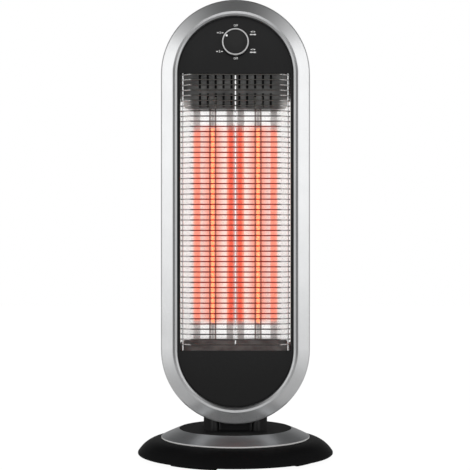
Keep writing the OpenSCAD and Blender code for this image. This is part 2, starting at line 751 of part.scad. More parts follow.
// Rotary switch with its bush through the fascia
switch_rear = fascia_rear - slide_gap - switch_depth;
switch_tab_x = switch_w / 4;
switch_tab_up = switch_w * 0.31;
tab_rear = switch_rear - 6;
bush_front = fascia_front + 1.6;
module rotary_switch() {
  half = switch_w / 2;
  color([0.1, 0.1, 0.1]) in_front_view()
    difference() {
      union() {
        block([-half, knob_up - half, switch_rear], [half, knob_up + half, fascia_rear - slide_gap]);
        forward_rod(0, knob_up, bush_d / 2, switch_rear + 1, bush_front);
        for (s = [-1, 1], e = [-1, 1])
          block([s * switch_tab_x - 2.4, knob_up + e * switch_tab_up - tab_t / 2, tab_rear],
            [s * switch_tab_x + 2.4, knob_up + e * switch_tab_up + tab_t / 2, switch_rear + 1]);
      }
      forward_rod(0, knob_up, shaft_d / 2 + run_gap, switch_rear + 8, bush_front + 1);
      for (s = [-1, 1])
        forward_rod(s * switch_screw_x, knob_up, switch_screw_d / 2 + run_gap, fascia_rear - 9,
          fascia_rear + 1);
    }
}
module switch_screws() {
  color([0.75, 0.75, 0.75]) in_front_view()
    for (s = [-1, 1]) {
      forward_rod(s * switch_screw_x, knob_up, switch_screw_d / 2, fascia_rear - 7, fascia_front - 1);
      translate([s * switch_screw_x, knob_up, fascia_front - 1.6])
        cylinder(r1 = switch_screw_d / 2, r2 = switch_screw_d / 2 + 1.5, h = 1.5);
    }
}
knob_rear = fascia_front + 0.6;
knob_front = knob_rear + knob_h;
socket_front = knob_front - 4.6;
module switch_shaft() {
  color([0.8, 0.75, 0.5]) in_front_view()
    forward_rod(0, knob_up, shaft_d / 2, switch_rear + 8 + free_gap, socket_front - slide_gap);
}

// Knob: a bore for the shaft, a dished dark face, and a silver rim round its front edge
face_r = knob_face_d / 2;
dot_d = 2.8;
dot_r = face_r - dot_d / 2 - 0.5;
face_front = knob_front - 0.9;
rim_rear = knob_front - knob_rim_h;
module control_knob() {
  profile = concat([[shaft_d / 2 + slide_gap, socket_front], [shaft_d / 2 + slide_gap, bush_front + 0.8],
    [bush_d / 2 + 0.8, bush_front + 0.8], [bush_d / 2 + 0.8, knob_rear], [knob_d / 2 - 1, knob_rear],
    [knob_d / 2 - 0.4, knob_rear + 0.6], [knob_d / 2 - 0.4, rim_rear], [face_r, rim_rear],
      [face_r, face_front - 0.3],
    [face_r - 0.3, face_front]],
    bulge([face_r - 1, face_front], [0, face_front - 0.6], 0.3, 4), [[0, socket_front]]);
  color([0.16, 0.16, 0.16]) in_front_view() translate([0, knob_up, 0])
    difference() {
      rotate_extrude() polygon(profile);
      rotate([0, 0, 90 + knob_turn]) forward_rod(dot_r, 0, dot_d / 2 + 0.02, face_front - 1.6,
        knob_front + 1);
    }
}
module knob_rim() {
  color([0.8, 0.8, 0.8]) in_front_view() translate([0, knob_up, 0])
    rotate_extrude() polygon([[face_r + 0.04, rim_rear], [knob_d / 2, rim_rear],
      [knob_d / 2, knob_front - 0.7],
      [knob_d / 2 - 0.6, knob_front], [knob_d / 2 - 1.2, knob_front], [face_r + 0.04, face_front + 0.1]]);
}
module knob_pointer() {
  color([0.95, 0.95, 0.95]) in_front_view() translate([0, knob_up, 0])
    rotate([0, 0, 90 + knob_turn]) forward_rod(dot_r, 0, dot_d / 2, face_front - 1.6, face_front + 0.05);
}

// Leads: a round tube swept along a smooth curve through hand-chosen points
lead_d = 2.6;
lead_sides = 8;
lead_steps = 5;
function smooth(p, i, t) = let (a = p[max(0, i - 1)], b = p[i], c = p[i + 1], d = p[min(len(p) - 1, i + 2)])
  0.5 * (2 * b + (c - a) * t + (2 * a - 5 * b + 4 * c - d) * t * t + (3 * b - a - 3 * c + d) * t * t * t);
function curve(p) = concat(
  [for (i = [0:len(p) - 2], k = [0:lead_steps - 1]) smooth(p, i, k / lead_steps)],
  [p[len(p) - 1]]);
module swept(path, d, up, sides) {
  n = len(path);
  rings = [for (i = [0:n - 1])
    let (raw = path[min(i + 1, n - 1)] - path[max(i - 1, 0)],
      t = raw / norm(raw),
      u0 = cross(t, up),
      u = u0 / norm(u0),
      v = cross(t, u))
      for (k = [0:sides - 1]) path[i] + d / 2 * (cos(360 * k / sides) * u + sin(360 * k / sides) * v)];
  skin = [for (i = [0:n - 2], k = [0:sides - 1], h = [0, 1])
    let (a = i * sides + k, b = i * sides + (k + 1) % sides)
      h == 0 ? [a, b, a + sides] : [b, b + sides, a + sides]];
  last = (n - 1) * sides;
  caps = [for (k = [1:sides - 2], e = [0, 1]) e == 0 ? [0, k + 1, k] : [last, last + k, last + k + 1]];
  polyhedron(rings, concat(skin, caps));
}

// Leads in the head, as [x, up, forward]: straight away from each end, then in bends of about lead_turn
lead_turn = 10;
lead_back = back_inner + 12;
cap_top = ledge_high + panel_t + tube_seat + 2;
block_top = terminal_up + terminal_h;
cutout_top = ledge_high + bracket_rise + bracket_t + cutout_h + cutout_tab;
rising_x = bracket_half - 1.8 * lead_turn;
module switch_leads() {
  color([0.2, 0.2, 0.2]) in_front_view() {
    swept(curve([
      [-terminal_pitch, block_top + free_gap, lead_back],
        [-terminal_pitch, block_top + 0.4 * lead_turn, lead_back],
      [-terminal_pitch - 0.3 * lead_turn, block_top + lead_turn, lead_back],
        [-rising_x, block_top + 4 * lead_turn, lead_back],
      [-rising_x, middle, lead_back], [-rising_x, ledge_high - 2 * lead_turn, lead_back],
      [-0.9 * rising_x, ledge_high + 1.6 * lead_turn, lead_back + 0.3 * lead_turn],
      [-1.5 * lead_turn, cutout_top + 1.6 * lead_turn, -1.4 * lead_turn],
      [-0.5 * lead_turn, cutout_top + 1.3 * lead_turn, -0.2 * lead_turn],
      [-tab_x, cutout_top + 0.6 * lead_turn, 0], [-tab_x, cutout_top + free_gap, 0]]), lead_d,
        [1, 0.05, 0.1], lead_sides);
    swept(curve([
      [tab_x, cutout_top + free_gap, 0], [tab_x, cutout_top + 0.6 * lead_turn, 0],
      [0.3 * lead_turn, (cutout_top + knob_up) / 2 - 0.2 * lead_turn, -0.2 * lead_turn],
      [-0.4 * lead_turn, knob_up - switch_tab_up - 1.4 * lead_turn, -0.5 * lead_turn],
      [-switch_tab_x, knob_up - switch_tab_up - 0.3 * lead_turn, tab_rear - 0.9 * lead_turn],
      [-switch_tab_x, knob_up - switch_tab_up, tab_rear - 0.4 * lead_turn],
      [-switch_tab_x, knob_up - switch_tab_up, tab_rear - free_gap]]), lead_d, [1, 0.05, 0.1], lead_sides);
  }
}
module upper_tube_leads() {
  color([0.1, 0.1, 0.1]) in_front_view() {
    swept(curve([
      [switch_tab_x, knob_up - switch_tab_up, tab_rear - free_gap],
      [switch_tab_x, knob_up - switch_tab_up, tab_rear - 0.4 * lead_turn],
      [1.2 * lead_turn, knob_up - switch_tab_up - 0.8 * lead_turn, tab_rear - lead_turn],
      [0.75 * tube_x, (knob_up + cap_top) / 2 - 0.2 * lead_turn, -0.3 * lead_turn],
      [tube_x - 1, cap_top + 1.6 * lead_turn, 0.4 * lead_turn], [tube_x, cap_top + 0.8 * lead_turn, tube_f],
      [tube_x, cap_top + 0.4 * lead_turn, tube_f], [tube_x, cap_top + free_gap, tube_f]]),
      lead_d, [0.2, 0.1, 1], lead_sides);
    swept(curve([
      [-switch_tab_x, knob_up + switch_tab_up, tab_rear - free_gap],
      [-switch_tab_x, knob_up + switch_tab_up, tab_rear - 0.4 * lead_turn],
      [-1.3 * lead_turn, knob_up + 0.5 * lead_turn, tab_rear - 1.2 * lead_turn],
      [-2.2 * lead_turn, knob_up - 1.2 * lead_turn, -0.6 * lead_turn],
      [-0.86 * tube_x, (knob_up + cap_top) / 2 - 0.4 * lead_turn, -0.4 * lead_turn],
      [-tube_x + 1, cap_top + 1.6 * lead_turn, 0.4 * lead_turn],
        [-tube_x, cap_top + 0.8 * lead_turn, tube_f],
      [-tube_x, cap_top + 0.4 * lead_turn, tube_f], [-tube_x, cap_top + free_gap, tube_f]]),
      lead_d, [0.2, 0.1, 1], lead_sides);
  }
}
module lower_tube_leads() {
  color([0.1, 0.2, 0.55]) in_front_view() {
    swept(curve([
      [terminal_pitch, block_top + free_gap, lead_back],
        [terminal_pitch, block_top + 0.4 * lead_turn, lead_back],
      [0.58 * tube_x, block_top + 0.8 * lead_turn, -2 * lead_turn],
      [0.88 * tube_x, block_top + 0.4 * lead_turn, -0.8 * lead_turn],
      [0.97 * tube_x, block_top + 0.4 * lead_turn, 0.2 * lead_turn],
      [tube_x, cap_foot_end - 0.8 * lead_turn, tube_f - 0.5],
        [tube_x, cap_foot_end - 0.4 * lead_turn, tube_f],
      [tube_x, cap_foot_end - free_gap, tube_f]]), lead_d, [1, 0.1, 0.3], lead_sides);
    swept(curve([
      [0, block_top + free_gap, lead_back], [0, block_top + 0.4 * lead_turn, lead_back],
      [-0.1 * tube_x, block_top + 0.8 * lead_turn, -2.1 * lead_turn],
      [-0.5 * tube_x, block_top + 0.5 * lead_turn, -1.1 * lead_turn],
      [-0.92 * tube_x, block_top + 0.4 * lead_turn, 0],
      [-tube_x, cap_foot_end - 0.8 * lead_turn, tube_f - 0.5],
        [-tube_x, cap_foot_end - 0.4 * lead_turn, tube_f],
      [-tube_x, cap_foot_end - free_gap, tube_f]]), lead_d, [1, 0.1, 0.3], lead_sides);
  }
}
supply_d = 3.6;
module head_supply_lead() {
  rise = terminal_up - shelf_top;
  color([0.1, 0.1, 0.1]) in_front_view()
    swept(curve([
      [0, lever_under + 0.1, 0], [0, base_h, 0], [0, shelf_top, 0],
        [0, shelf_top + 0.23 * rise, -0.2 * lead_turn],
      [0, shelf_top + 0.54 * rise, lead_back / 2], [0, terminal_up - 0.8 * lead_turn, lead_back],
      [0, terminal_up - 0.4 * lead_turn, lead_back], [0, terminal_up - free_gap, lead_back]]),
      supply_d, [1, 0, 0.05], lead_sides);
}

module case_screws() {
  color([0.2, 0.2, 0.2]) in_front_view()
    for (p = case_screw_places)
      translate([p[0], p[1], case_seat]) screw(case_screw_d, ring_boss_front - 2.5 - case_seat,
        case_head_d, 2.4);
}
module reflector_screws() {
  shank = seat - (fascia_rear + fascia_t / 2) + 0.2;
  color([0.75, 0.75, 0.75]) in_front_view() {
    for (p = panel_screw_places)
      translate([p[0], p[1], seat - panel_t]) screw(small_screw_d, panel_t - shank, small_head_d, head_t);
    for (p = reflector_screw_places)
      translate([p[0], p[1], seat - reflector_t]) screw(small_screw_d, reflector_t - shank, small_head_d,
        head_t);
  }
}

// Neck: upright corner columns with a set-back front, hollow, cut to the head's outline
module neck_plan(w, d, r) {
  square([w - 2 * r, d], center = true);
  square([w, d - 2 * r], center = true);
  for (x = [-1, 1], y = [-1, 1]) translate([x * (w / 2 - r), y * (d / 2 - r)]) circle(r = r);
}
module neck_outline() {
  difference() {
    neck_plan(neck_w, neck_d, neck_corner);
    translate([0, -neck_d / 2]) square([neck_recess_w + 2 * neck_recess, 2 * neck_recess], center = true);
  }
  for (s = [-1, 1])
    translate([s * (neck_recess_w / 2 + neck_recess), neck_recess - neck_d / 2]) circle(r = neck_recess);
}
neck_h = neck_gap + ring_r / 4;
neck_post_h = 9;
module neck() {
  color([0.08, 0.08, 0.08])
    difference() {
      translate([0, 0, base_h]) union() {
        linear_extrude(height = neck_h)
          difference() {
            neck_outline();
            difference() {
              neck_plan(neck_w - 2 * wall, neck_d - 2 * wall, neck_corner - wall);
              translate([0, -neck_d / 2])
                square([neck_recess_w + 1.6 * neck_recess, 2 * (neck_recess + wall)], center = true);
            }
          }
        linear_extrude(height = neck_post_h)
          intersection() {
            neck_outline();
            for (p = neck_screw_places) translate(p) circle(r = neck_corner - wall + 0.4);
          }
      }
      for (p = neck_screw_places)
        translate([p[0], p[1], base_h - 1]) cylinder(d = case_screw_d + 2 * run_gap, h = neck_post_h);
      in_front_view() {
        forward_rod(0, low_centre, ring_r + free_gap, ring_rear - free_gap, neck_d);
        shell_form(-free_gap);
      }
    }
}
neck_screw_places = [for (x = [-1, 1], y = [-1, 1])
  [x * (neck_w / 2 - neck_corner), y * (neck_d / 2 - neck_corner)]];

// Turntable that turns with the neck
module turntable() {
  r = table_d / 2;
  color([0.07, 0.07, 0.07])
    difference() {
      rotate_extrude() polygon([[spindle_r + seat_gap, table_under], [r, table_under], [r, base_h - 0.8],
        [r - 0.8, base_h], [spindle_r + seat_gap, base_h]]);
      for (p = neck_screw_places)
        translate([p[0], p[1], table_under - 1]) cylinder(d = case_screw_d + 2 * seat_gap, h = table_t + 2);
    }
}
module neck_screws() {
  color([0.7, 0.7, 0.7])
    for (p = neck_screw_places) translate([p[0], p[1], table_under])
      screw(case_screw_d, table_t + neck_post_h - 2, head_d, head_t);
}

// Hollow spindle with the flange that carries the head
flange_t = 3;
spindle_flange_d = 54;
spindle_screw_r = 20;
spindle_screw_places = [for (a = [45:90:315]) spindle_screw_r * [cos(a), sin(a)]];
module spindle() {
  color([0.7, 0.7, 0.7])
    difference() {
      union() {
        translate([0, 0, lever_under]) cylinder(r = spindle_r, h = shelf_top - lever_under + 1);
        translate([0, 0, shelf_top]) cylinder(d = spindle_flange_d, h = flange_t);
      }
      translate([0, 0, lever_under - 1]) cylinder(d = spindle_bore, h = shelf_top + flange_t);
      for (p = spindle_screw_places)
        translate([p[0], p[1], shelf_top - 1]) cylinder(d = case_screw_d + 2 * seat_gap, h = flange_t + 2);
    }
}
module spindle_screws() {
  color([0.75, 0.75, 0.75])
    for (p = spindle_screw_places)
      translate([p[0], p[1], shelf_top + flange_t]) mirror([0, 0, 1])
        screw(case_screw_d, flange_t + shelf_t - 0.5, head_d, head_t);
}

// Washers on both sides of the deck: the upper one lies on it, the lower one on the lever
washer_r = norm(neck_screw_places[0]) - head_d / 2 - 1.6;
module thrust_washer() {
  color([0.9, 0.9, 0.86]) translate([0, 0, deck_top])
    difference() {
      cylinder(r = washer_r, h = table_under - deck_top - slide_gap);
      translate([0, 0, -1]) cylinder(r = spindle_r + free_gap, h = 4);
    }
}
lever_top = lever_under + lever_t;
module lower_washer() {
  color([0.9, 0.9, 0.86]) translate([0, 0, lever_top])
    difference() {
      cylinder(r = boss_r, h = boss_under - slide_gap - lever_top);
      translate([0, 0, -1]) cylinder(r = spindle_r + slide_gap, h = 4);
    }
}

// Swing drive. At rest the crank and the lever both point to the right and the link lies along Y.
crank_r = lever_r * sin(swing);
motor_x = lever_r - crank_r;
pin_r = pin_d / 2;
boss_r = 15;
// The link keeps its direction while crank and lever turn, so its lever eye is a slot
slot_run = crank_r * (1 - cos(crank_ratio * swing)) - lever_r * (1 - cos(swing));
slot_slack = 0.08 * crank_r;
module swing_lever() {
  color([0.75, 0.7, 0.4]) {
    difference() {
      union() {
        translate([0, 0, lever_under]) cylinder(r = spindle_r + 3, h = lever_t);
        translate([lever_r, 0, lever_under]) cylinder(r = pin_r + 2, h = lever_t);
        translate([0, -pin_r - 2, lever_under]) cube([lever_r, pin_d + 4, lever_t]);
      }
      translate([0, 0, lever_under - 1]) cylinder(r = spindle_r + 0.02, h = lever_t + 2);
    }
    translate([lever_r, 0, link_under - 0.4]) cylinder(r = pin_r, h = lever_under - link_under + 0.6);
  }
}
module link() {
  eye_r = pin_r + slot_slack + 2.2;
  color([0.85, 0.85, 0.8])
    translate([lever_r, 0, link_under])
      difference() {
        union() {
          for (dx = [0, slot_run]) translate([dx, 0, 0]) cylinder(r = eye_r, h = link_t);
          translate([0, -eye_r, 0]) cube([slot_run, 2 * eye_r, link_t]);
          translate([-pin_r - 2, 0, 0]) cube([pin_d + 4, link_len, link_t]);
          translate([0, link_len, 0]) cylinder(r = pin_r + 2, h = link_t);
        }
        for (dx = [0, slot_run]) translate([dx, 0, -1]) cylinder(r = pin_r + slot_slack, h = link_t + 2);
        translate([0, -pin_r - slot_slack, -1]) cube([slot_run, 2 * (pin_r + slot_slack), link_t + 2]);
        translate([0, link_len, -1]) cylinder(r = pin_r + run_gap, h = link_t + 2);
      }
}
motor_shaft_r = 3;
motor_shaft_low = 6;
hub_r = 6;
motor_ear = motor_d / 2 + 6.5;
ear_w = 10;
ear_t = 1.2;
module crank() {
  color([0.85, 0.85, 0.8]) translate([motor_x, link_len, crank_under]) {
    difference() {
      union() {
        cylinder(r = hub_r, h = crank_t);
        translate([crank_r, 0, 0]) cylinder(r = pin_r + 2, h = crank_t);
        translate([0, -pin_r - 2, 0]) cube([crank_r, pin_d + 4, crank_t]);
      }
      translate([0, 0, -1]) cylinder(r = motor_shaft_r + 0.02, h = crank_t + 2);
    }
    translate([crank_r, 0, crank_t - 0.2]) cylinder(r = pin_r, h = link_t + free_gap + 1);
  }
}
module motor_shaft() {
  color([0.7, 0.7, 0.7]) translate([motor_x, link_len, floor_in + motor_shaft_low])
    cylinder(r = motor_shaft_r, h = crank_under + crank_t - floor_in - motor_shaft_low);
}
module swing_motor() {
  color([0.6, 0.6, 0.62]) translate([motor_x, link_len, floor_in])
    difference() {
      union() {
        cylinder(d = motor_d, h = motor_h);
        cylinder(r = hub_r, h = motor_h + 0.9);
        translate([-motor_ear - 4, -ear_w / 2, 0]) cube([2 * motor_ear + 8, ear_w, ear_t]);
      }
      translate([0, 0, motor_shaft_low - 0.3]) cylinder(r = motor_shaft_r + run_gap, h = motor_h);
      for (s = [-1, 1]) translate([s * motor_ear, 0, -1]) cylinder(d = case_screw_d + 2 * seat_gap, h = 4);
    }
}
module motor_screws() {
  color([0.75, 0.75, 0.75])
    for (s = [-1, 1])
      translate([motor_x + s * motor_ear, link_len, floor_in + ear_t]) mirror([0, 0, 1])
        screw(case_screw_d, ear_t + plate_t - 0.3, head_d, head_t);
}

// Base shell: dome, seat for the trim, deck and bearing boss, as [radius, up]
base_r = base_d / 2;
trim_r = trim_d / 2;
trim_in_r = table_d / 2 + 0.6;
trim_high = base_h - 0.2;
trim_low = trim_high - trim_drop;
dome_top = trim_low - trim_t - 0.4;
plate_out_r = base_r - wall - 0.5;
base_post_r = base_r - 14;
base_post_d = 8;
base_post_hole = 7;
base_post_places = [for (k = [0:3]) base_post_r * [cos(foot_turn + 45 + 90 * k),
  sin(foot_turn + 45 + 90 * k)]];
foot_r = base_r - foot_inset;
ballast_r = base_r - ballast_inset;
inlet_d = 11;
inlet_up = floor_in + inlet_d / 2 + 0.5;
inlet_front = base_r - 16;
function dome_line(inset) = bulge([base_r - 0.3 - inset, foot_t + 3],
  [trim_r + 1.1 - inset * 0.7, dome_top - inset * 0.9], -dome_bulge, 10);
module base_shell() {
  outer = concat([[base_r - 0.8, foot_t], [base_r, foot_t + 0.8], [base_r, foot_t + 2.2]], dome_line(0),
    [[trim_r - 1.2, dome_top], [trim_in_r, trim_high - trim_t - 0.3], [trim_in_r, deck_top],
     [spindle_r + run_gap, deck_top], [spindle_r + run_gap, boss_under], [boss_r, boss_under],
       [boss_r, deck_under],
     [trim_in_r - wall - 0.5, deck_under], [trim_in_r + 1.5, deck_under - 0.2]]);
  inner = back_to_front(dome_line(wall));
  color([0.07, 0.07, 0.07])
    difference() {
      union() {
        rotate_extrude() polygon(concat(outer, inner, [[base_r - wall - 0.3, foot_t]]));
        intersection() {
          for (p = base_post_places) translate([p[0], p[1], floor_in])
            cylinder(d = base_post_d, h = deck_top);
          rotate_extrude()
            polygon(concat([[0, floor_in], [base_r - wall / 2, floor_in]], dome_line(wall / 2),
              [[0, dome_top]]));
        }
      }
      for (p = base_post_places) translate([p[0], p[1], floor_in - 1])
        cylinder(d = case_screw_d + 2 * run_gap, h = base_post_hole);
      translate([0, base_r - 30, inlet_up]) rotate([-90, 0, 0])
        cylinder(d = inlet_d + 2 * slide_gap, h = 40);
    }
}
module base_trim() {
  top = bulge([trim_r, trim_low], [trim_in_r, trim_high], -0.4, 4);
  color([0.7, 0.7, 0.7])
    rotate_extrude() polygon(concat([[trim_r - 0.9, trim_low - trim_t - 0.3],
      [trim_r, trim_low - trim_t + 0.3]], top,
      [[trim_in_r, trim_high - trim_t - 0.2], [trim_r - 1.2, trim_low - trim_t - 0.3]]));
}

// Base plate with a collar that guides the plunger, and a recess for each base screw
tip_place = [-58, -26];
collar_top = floor_in + 2.6;
module base_plate() {
  color([0.15, 0.15, 0.15])
    difference() {
      union() {
        translate([0, 0, foot_t]) cylinder(r = plate_out_r, h = plate_t);
        translate([tip_place[0], tip_place[1], foot_t])
          cylinder(d = plunger_d + 6, h = collar_top - foot_t);
      }
      translate([tip_place[0], tip_place[1], 0]) cylinder(d = plunger_d + 2 * run_gap, h = collar_top + 1);
      for (p = base_post_places) translate([p[0], p[1], 0])
        cylinder(d = case_screw_d + 2 * seat_gap, h = floor_in + 1);
      for (s = [-1, 1])
        translate([motor_x + s * motor_ear, link_len, 0])
          cylinder(d = case_screw_d + 2 * run_gap, h = floor_in + 1);
      for (x = tip_leg_x) translate([x, tip_place[1], 0])
        cylinder(d = small_screw_d + 2 * run_gap, h = floor_in + 1);
    }
}
module base_screws() {
  color([0.7, 0.7, 0.7])
    for (p = base_post_places) translate([p[0], p[1], foot_t])
      screw(case_screw_d, plate_t + base_post_hole - 1.5, head_d, head_t);
}

// Cast ballast: a ring with a gap at the rear for the lead
ballast_open = 50;
module ballast() {
  color([0.3, 0.3, 0.32]) translate([0, 0, floor_in]) rotate([0, 0, 90 + ballast_open / 2])
    rotate_extrude(angle = 360 - ballast_open)
      translate([ballast_r - ballast_w, 0]) square([ballast_w, ballast_h]);
}

// Four curved foot pads under the plate
module foot_pads() {
  color([0.1, 0.1, 0.1])
    for (k = [0:3])
      rotate([0, 0, foot_turn + 90 * k - foot_angle / 2])
        rotate_extrude(angle = foot_angle) translate([foot_r - foot_w / 2, 0]) square([foot_w, foot_t]);
}

// Tip-over switch: plunger pushed in by the floor, spring above its collar, microswitch over its stem
stem_d = 4.6;
flange_low = collar_top + plunger_travel + free_gap;
flange_top = flange_low + 1.6;
bracket_under = floor_in + 19;
stem_top = bracket_under + 3.2;
tip_screw_x = 15;
tip_leg_x = [tip_place[0] - tip_screw_x, tip_place[0] + tip_screw_x];
tip_leg_t = 1.2;
tip_leg_w = 8;
tip_top_w = 22;
tip_foot_end = tip_screw_x + 4;
module tip_plunger() {
  color([0.9, 0.9, 0.85]) translate([tip_place[0], tip_place[1], 0]) {
    cylinder(d = plunger_d, h = flange_low + 0.2);
    translate([0, 0, flange_low]) cylinder(d = plunger_d + 4, h = flange_top - flange_low);
    cylinder(d = stem_d, h = stem_top);
  }
}
// The spring's curls: least gap between neighbours is the pitch less the wire
spring_r = stem_d / 2 + 0.6 + spring_wire / 2;
spring_len = bracket_under - flange_top - spring_wire - 2 * slide_gap;
spring_path = [for (i = [0:8 * spring_turns]) [spring_r * cos(45 * i), spring_r * sin(45 * i),
  flange_top + slide_gap + spring_wire / 2 + spring_len * i / (8 * spring_turns)]];
spring_gap = min([for (i = [0:len(spring_path) - 9], k = [6:min(10, len(spring_path) - 1 - i)])
  norm(spring_path[i + k] - spring_path[i])]) - spring_wire;
module plunger_spring() {
  echo(least_gap_of_the_plunger_spring = spring_gap);
  color([0.75, 0.75, 0.75]) translate([tip_place[0], tip_place[1], 0])
    swept(spring_path, spring_wire, [0, 0, 1], 6);
}
module tip_screws() {
  color([0.75, 0.75, 0.75])
    for (x = tip_leg_x)
      translate([x, tip_place[1], floor_in + tip_leg_t]) mirror([0, 0, 1])
        screw(small_screw_d, tip_leg_t + plate_t - 0.3, small_head_d, head_t);
}
module tip_bracket() {
  leg_x = tip_top_w / 2 - tip_leg_t;
  color([0.7, 0.7, 0.72]) translate([tip_place[0], tip_place[1], 0])
    difference() {
      union() {
        translate([-tip_top_w / 2, -tip_leg_w / 2, bracket_under]) cube([tip_top_w, tip_leg_w, tip_leg_t]);
        for (s = [0, 1]) mirror([s, 0, 0]) {
          translate([leg_x, -tip_leg_w / 2, floor_in])
            cube([tip_leg_t, tip_leg_w, bracket_under - floor_in + 0.6]);
          translate([leg_x, -tip_leg_w / 2, floor_in]) cube([tip_foot_end - leg_x, tip_leg_w, tip_leg_t]);
        }
      }
      translate([0, 0, bracket_under - 1]) cylinder(d = stem_d + 2 * run_gap, h = 4);
      for (s = [-1, 1])
        translate([s * tip_screw_x, 0, floor_in - 1]) cylinder(d = small_screw_d + 2 * seat_gap, h = 4);
    }
}
module tip_switch() {
  low = bracket_under + tip_leg_t;
  body_w = tip_leg_w - 1.6;
  color([0.1, 0.1, 0.1]) translate([tip_place[0], tip_place[1], 0]) {
    translate([3, -body_w / 2, low]) cube([tip_leg_w, body_w, 6]);
    translate([-3.5, -1.6, stem_top + slide_gap]) cube([7, 3.2, 0.5]);
    translate([2.8, -1.6, stem_top + slide_gap]) cube([0.7, 3.2, low + 6 - stem_top - slide_gap]);
  }
}

// Inlet grommet for the mains cord at the back of the base
module cord_inlet() {
  color([0.1, 0.1, 0.1]) translate([0, inlet_front, inlet_up]) rotate([-90, 0, 0])
    difference() {
      cylinder(d = inlet_d, h = base_r - 1.2 - inlet_front);
      translate([0, 0, -1]) cylinder(d = supply_d + 2 * seat_gap, h = inlet_d);
      translate([0, 0, inlet_d / 2]) cylinder(d = inlet_d * 0.62, h = 2 * inlet_d);
    }
}
module base_supply_lead() {
  low = floor_in + supply_d / 2 + 0.2;
  motor_left = motor_x - motor_ear - 4;
  color([0.1, 0.1, 0.1])
    swept(curve([
      [0, inlet_front + 4, inlet_up], [0, inlet_front - 1, inlet_up],
        [0, inlet_front - 0.6 * lead_turn, inlet_up],
      [-lead_turn, inlet_front - 2.2 * lead_turn, low + 1],
      [motor_left + 0.2 * lead_turn, link_len + motor_d / 2 + lead_turn, low],
      [motor_left - 0.45 * lead_turn, 1.2 * link_len, low],
        [motor_left - 0.3 * lead_turn, 0.76 * link_len, low],
      [0.75 * motor_left, 0.36 * link_len, low], [0.3 * motor_left, 0.1 * link_len, low + 0.5],
      [-1.5, 0.8, low + 0.6 * lead_turn], [0, 0, low + 1.2 * lead_turn], [0, 0, lever_under - 0.1]]),
      supply_d, [0.87, 0.1, 0.5], lead_sides);
}

front_ring();
front_fascia();
rear_shell();
guard_cross_wires();
guard_uprights();
reflector();
vent_panel();
sill_panel();
quartz_tube_left();
quartz_tube_right();
carbon_coil_left();
carbon_coil_right();
coil_tails();
tube_caps();
tube_bracket_upper();
tube_bracket_lower();
bracket_screws();
thermal_cutout();
terminal_block();
rotary_switch();
switch_screws();
switch_shaft();
control_knob();
knob_rim();
knob_pointer();
switch_leads();
upper_tube_leads();
lower_tube_leads();
head_supply_lead();
case_screws();
reflector_screws();
neck();
turntable();
neck_screws();
spindle();
spindle_screws();
thrust_washer();
lower_washer();
swing_lever();
link();
crank();
motor_shaft();
swing_motor();
motor_screws();
base_shell();
base_trim();
base_plate();
base_screws();
ballast();
foot_pads();
tip_plunger();
plunger_spring();
tip_bracket();
tip_screws();
tip_switch();
cord_inlet();
base_supply_lead();
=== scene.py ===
import math

import bmesh
import bpy
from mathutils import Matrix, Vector


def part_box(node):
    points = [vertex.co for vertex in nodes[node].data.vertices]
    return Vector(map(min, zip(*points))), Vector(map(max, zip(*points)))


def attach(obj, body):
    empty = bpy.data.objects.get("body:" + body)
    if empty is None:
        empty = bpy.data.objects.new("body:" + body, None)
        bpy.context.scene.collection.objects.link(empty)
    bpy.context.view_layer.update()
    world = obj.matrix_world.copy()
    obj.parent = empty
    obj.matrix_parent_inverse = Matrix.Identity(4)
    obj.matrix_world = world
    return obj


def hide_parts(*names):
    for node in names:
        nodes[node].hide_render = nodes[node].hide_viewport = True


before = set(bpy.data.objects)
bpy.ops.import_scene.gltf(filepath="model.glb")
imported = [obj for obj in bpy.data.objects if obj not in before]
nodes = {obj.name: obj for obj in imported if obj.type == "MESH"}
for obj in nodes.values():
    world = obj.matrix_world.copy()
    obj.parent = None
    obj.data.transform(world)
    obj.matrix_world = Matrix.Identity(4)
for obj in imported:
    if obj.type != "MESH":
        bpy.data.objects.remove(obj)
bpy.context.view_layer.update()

# Sizes and places are in metres. The head has two round ends on one upright middle line.
HEAD_MIDDLE_Z = 0.3505
END_RISE = 0.194    # from the middle of the head to the middle of each round end


# Camera: straight on and level, a little below the middle of the head
SENSOR_MM = 36
FOCAL_PIXELS = 1339
PHOTO_PIXELS = 470
CAMERA_PLACE = (-0.0006, -1.928, 0.318)

camera_data = bpy.data.cameras.new("camera")
camera_data.sensor_width = SENSOR_MM
camera_data.lens = SENSOR_MM * FOCAL_PIXELS / PHOTO_PIXELS
camera = bpy.data.objects.new("camera", camera_data)
camera.location = CAMERA_PLACE
camera.rotation_euler = (math.radians(90), 0, 0)
bpy.context.scene.collection.objects.link(camera)
bpy.context.scene.camera = camera


# Shader nodes

# The sockets of a colour mix, by number because their names are used more than once
MIX_SHARE, MIX_A, MIX_B, MIX_RESULT = 0, 6, 7, 2


def link(tree, a, out, b, inp):
    tree.links.new(a.outputs[out], b.inputs[inp])


def feed(tree, source, socket):
    """Link a socket to its source, or set it where the source is a plain number."""
    if isinstance(source, (int, float)):
        socket.default_value = source
    else:
        tree.links.new(source, socket)


def value(tree, kind, a, b=0.0):
    """The result of a math node. Each input is a socket or a number."""
    n = tree.nodes.new("ShaderNodeMath")
    n.operation = kind
    feed(tree, a, n.inputs[0])
    feed(tree, b, n.inputs[1])
    return n.outputs[0]


def product(tree, first, *others):
    for other in others:
        first = value(tree, "MULTIPLY", first, other)
    return first


def between(tree, source, low, high, a=0.0, b=1.0, kind="SMOOTHSTEP"):
    """A value that goes from `a` to `b` while the source goes from `low` to `high`."""
    r = tree.nodes.new("ShaderNodeMapRange")
    r.interpolation_type = kind
    r.inputs["From Min"].default_value = low
    r.inputs["From Max"].default_value = high
    r.inputs["To Min"].default_value = a
    r.inputs["To Max"].default_value = b
    tree.links.new(source, r.inputs["Value"])
    return r.outputs["Result"]


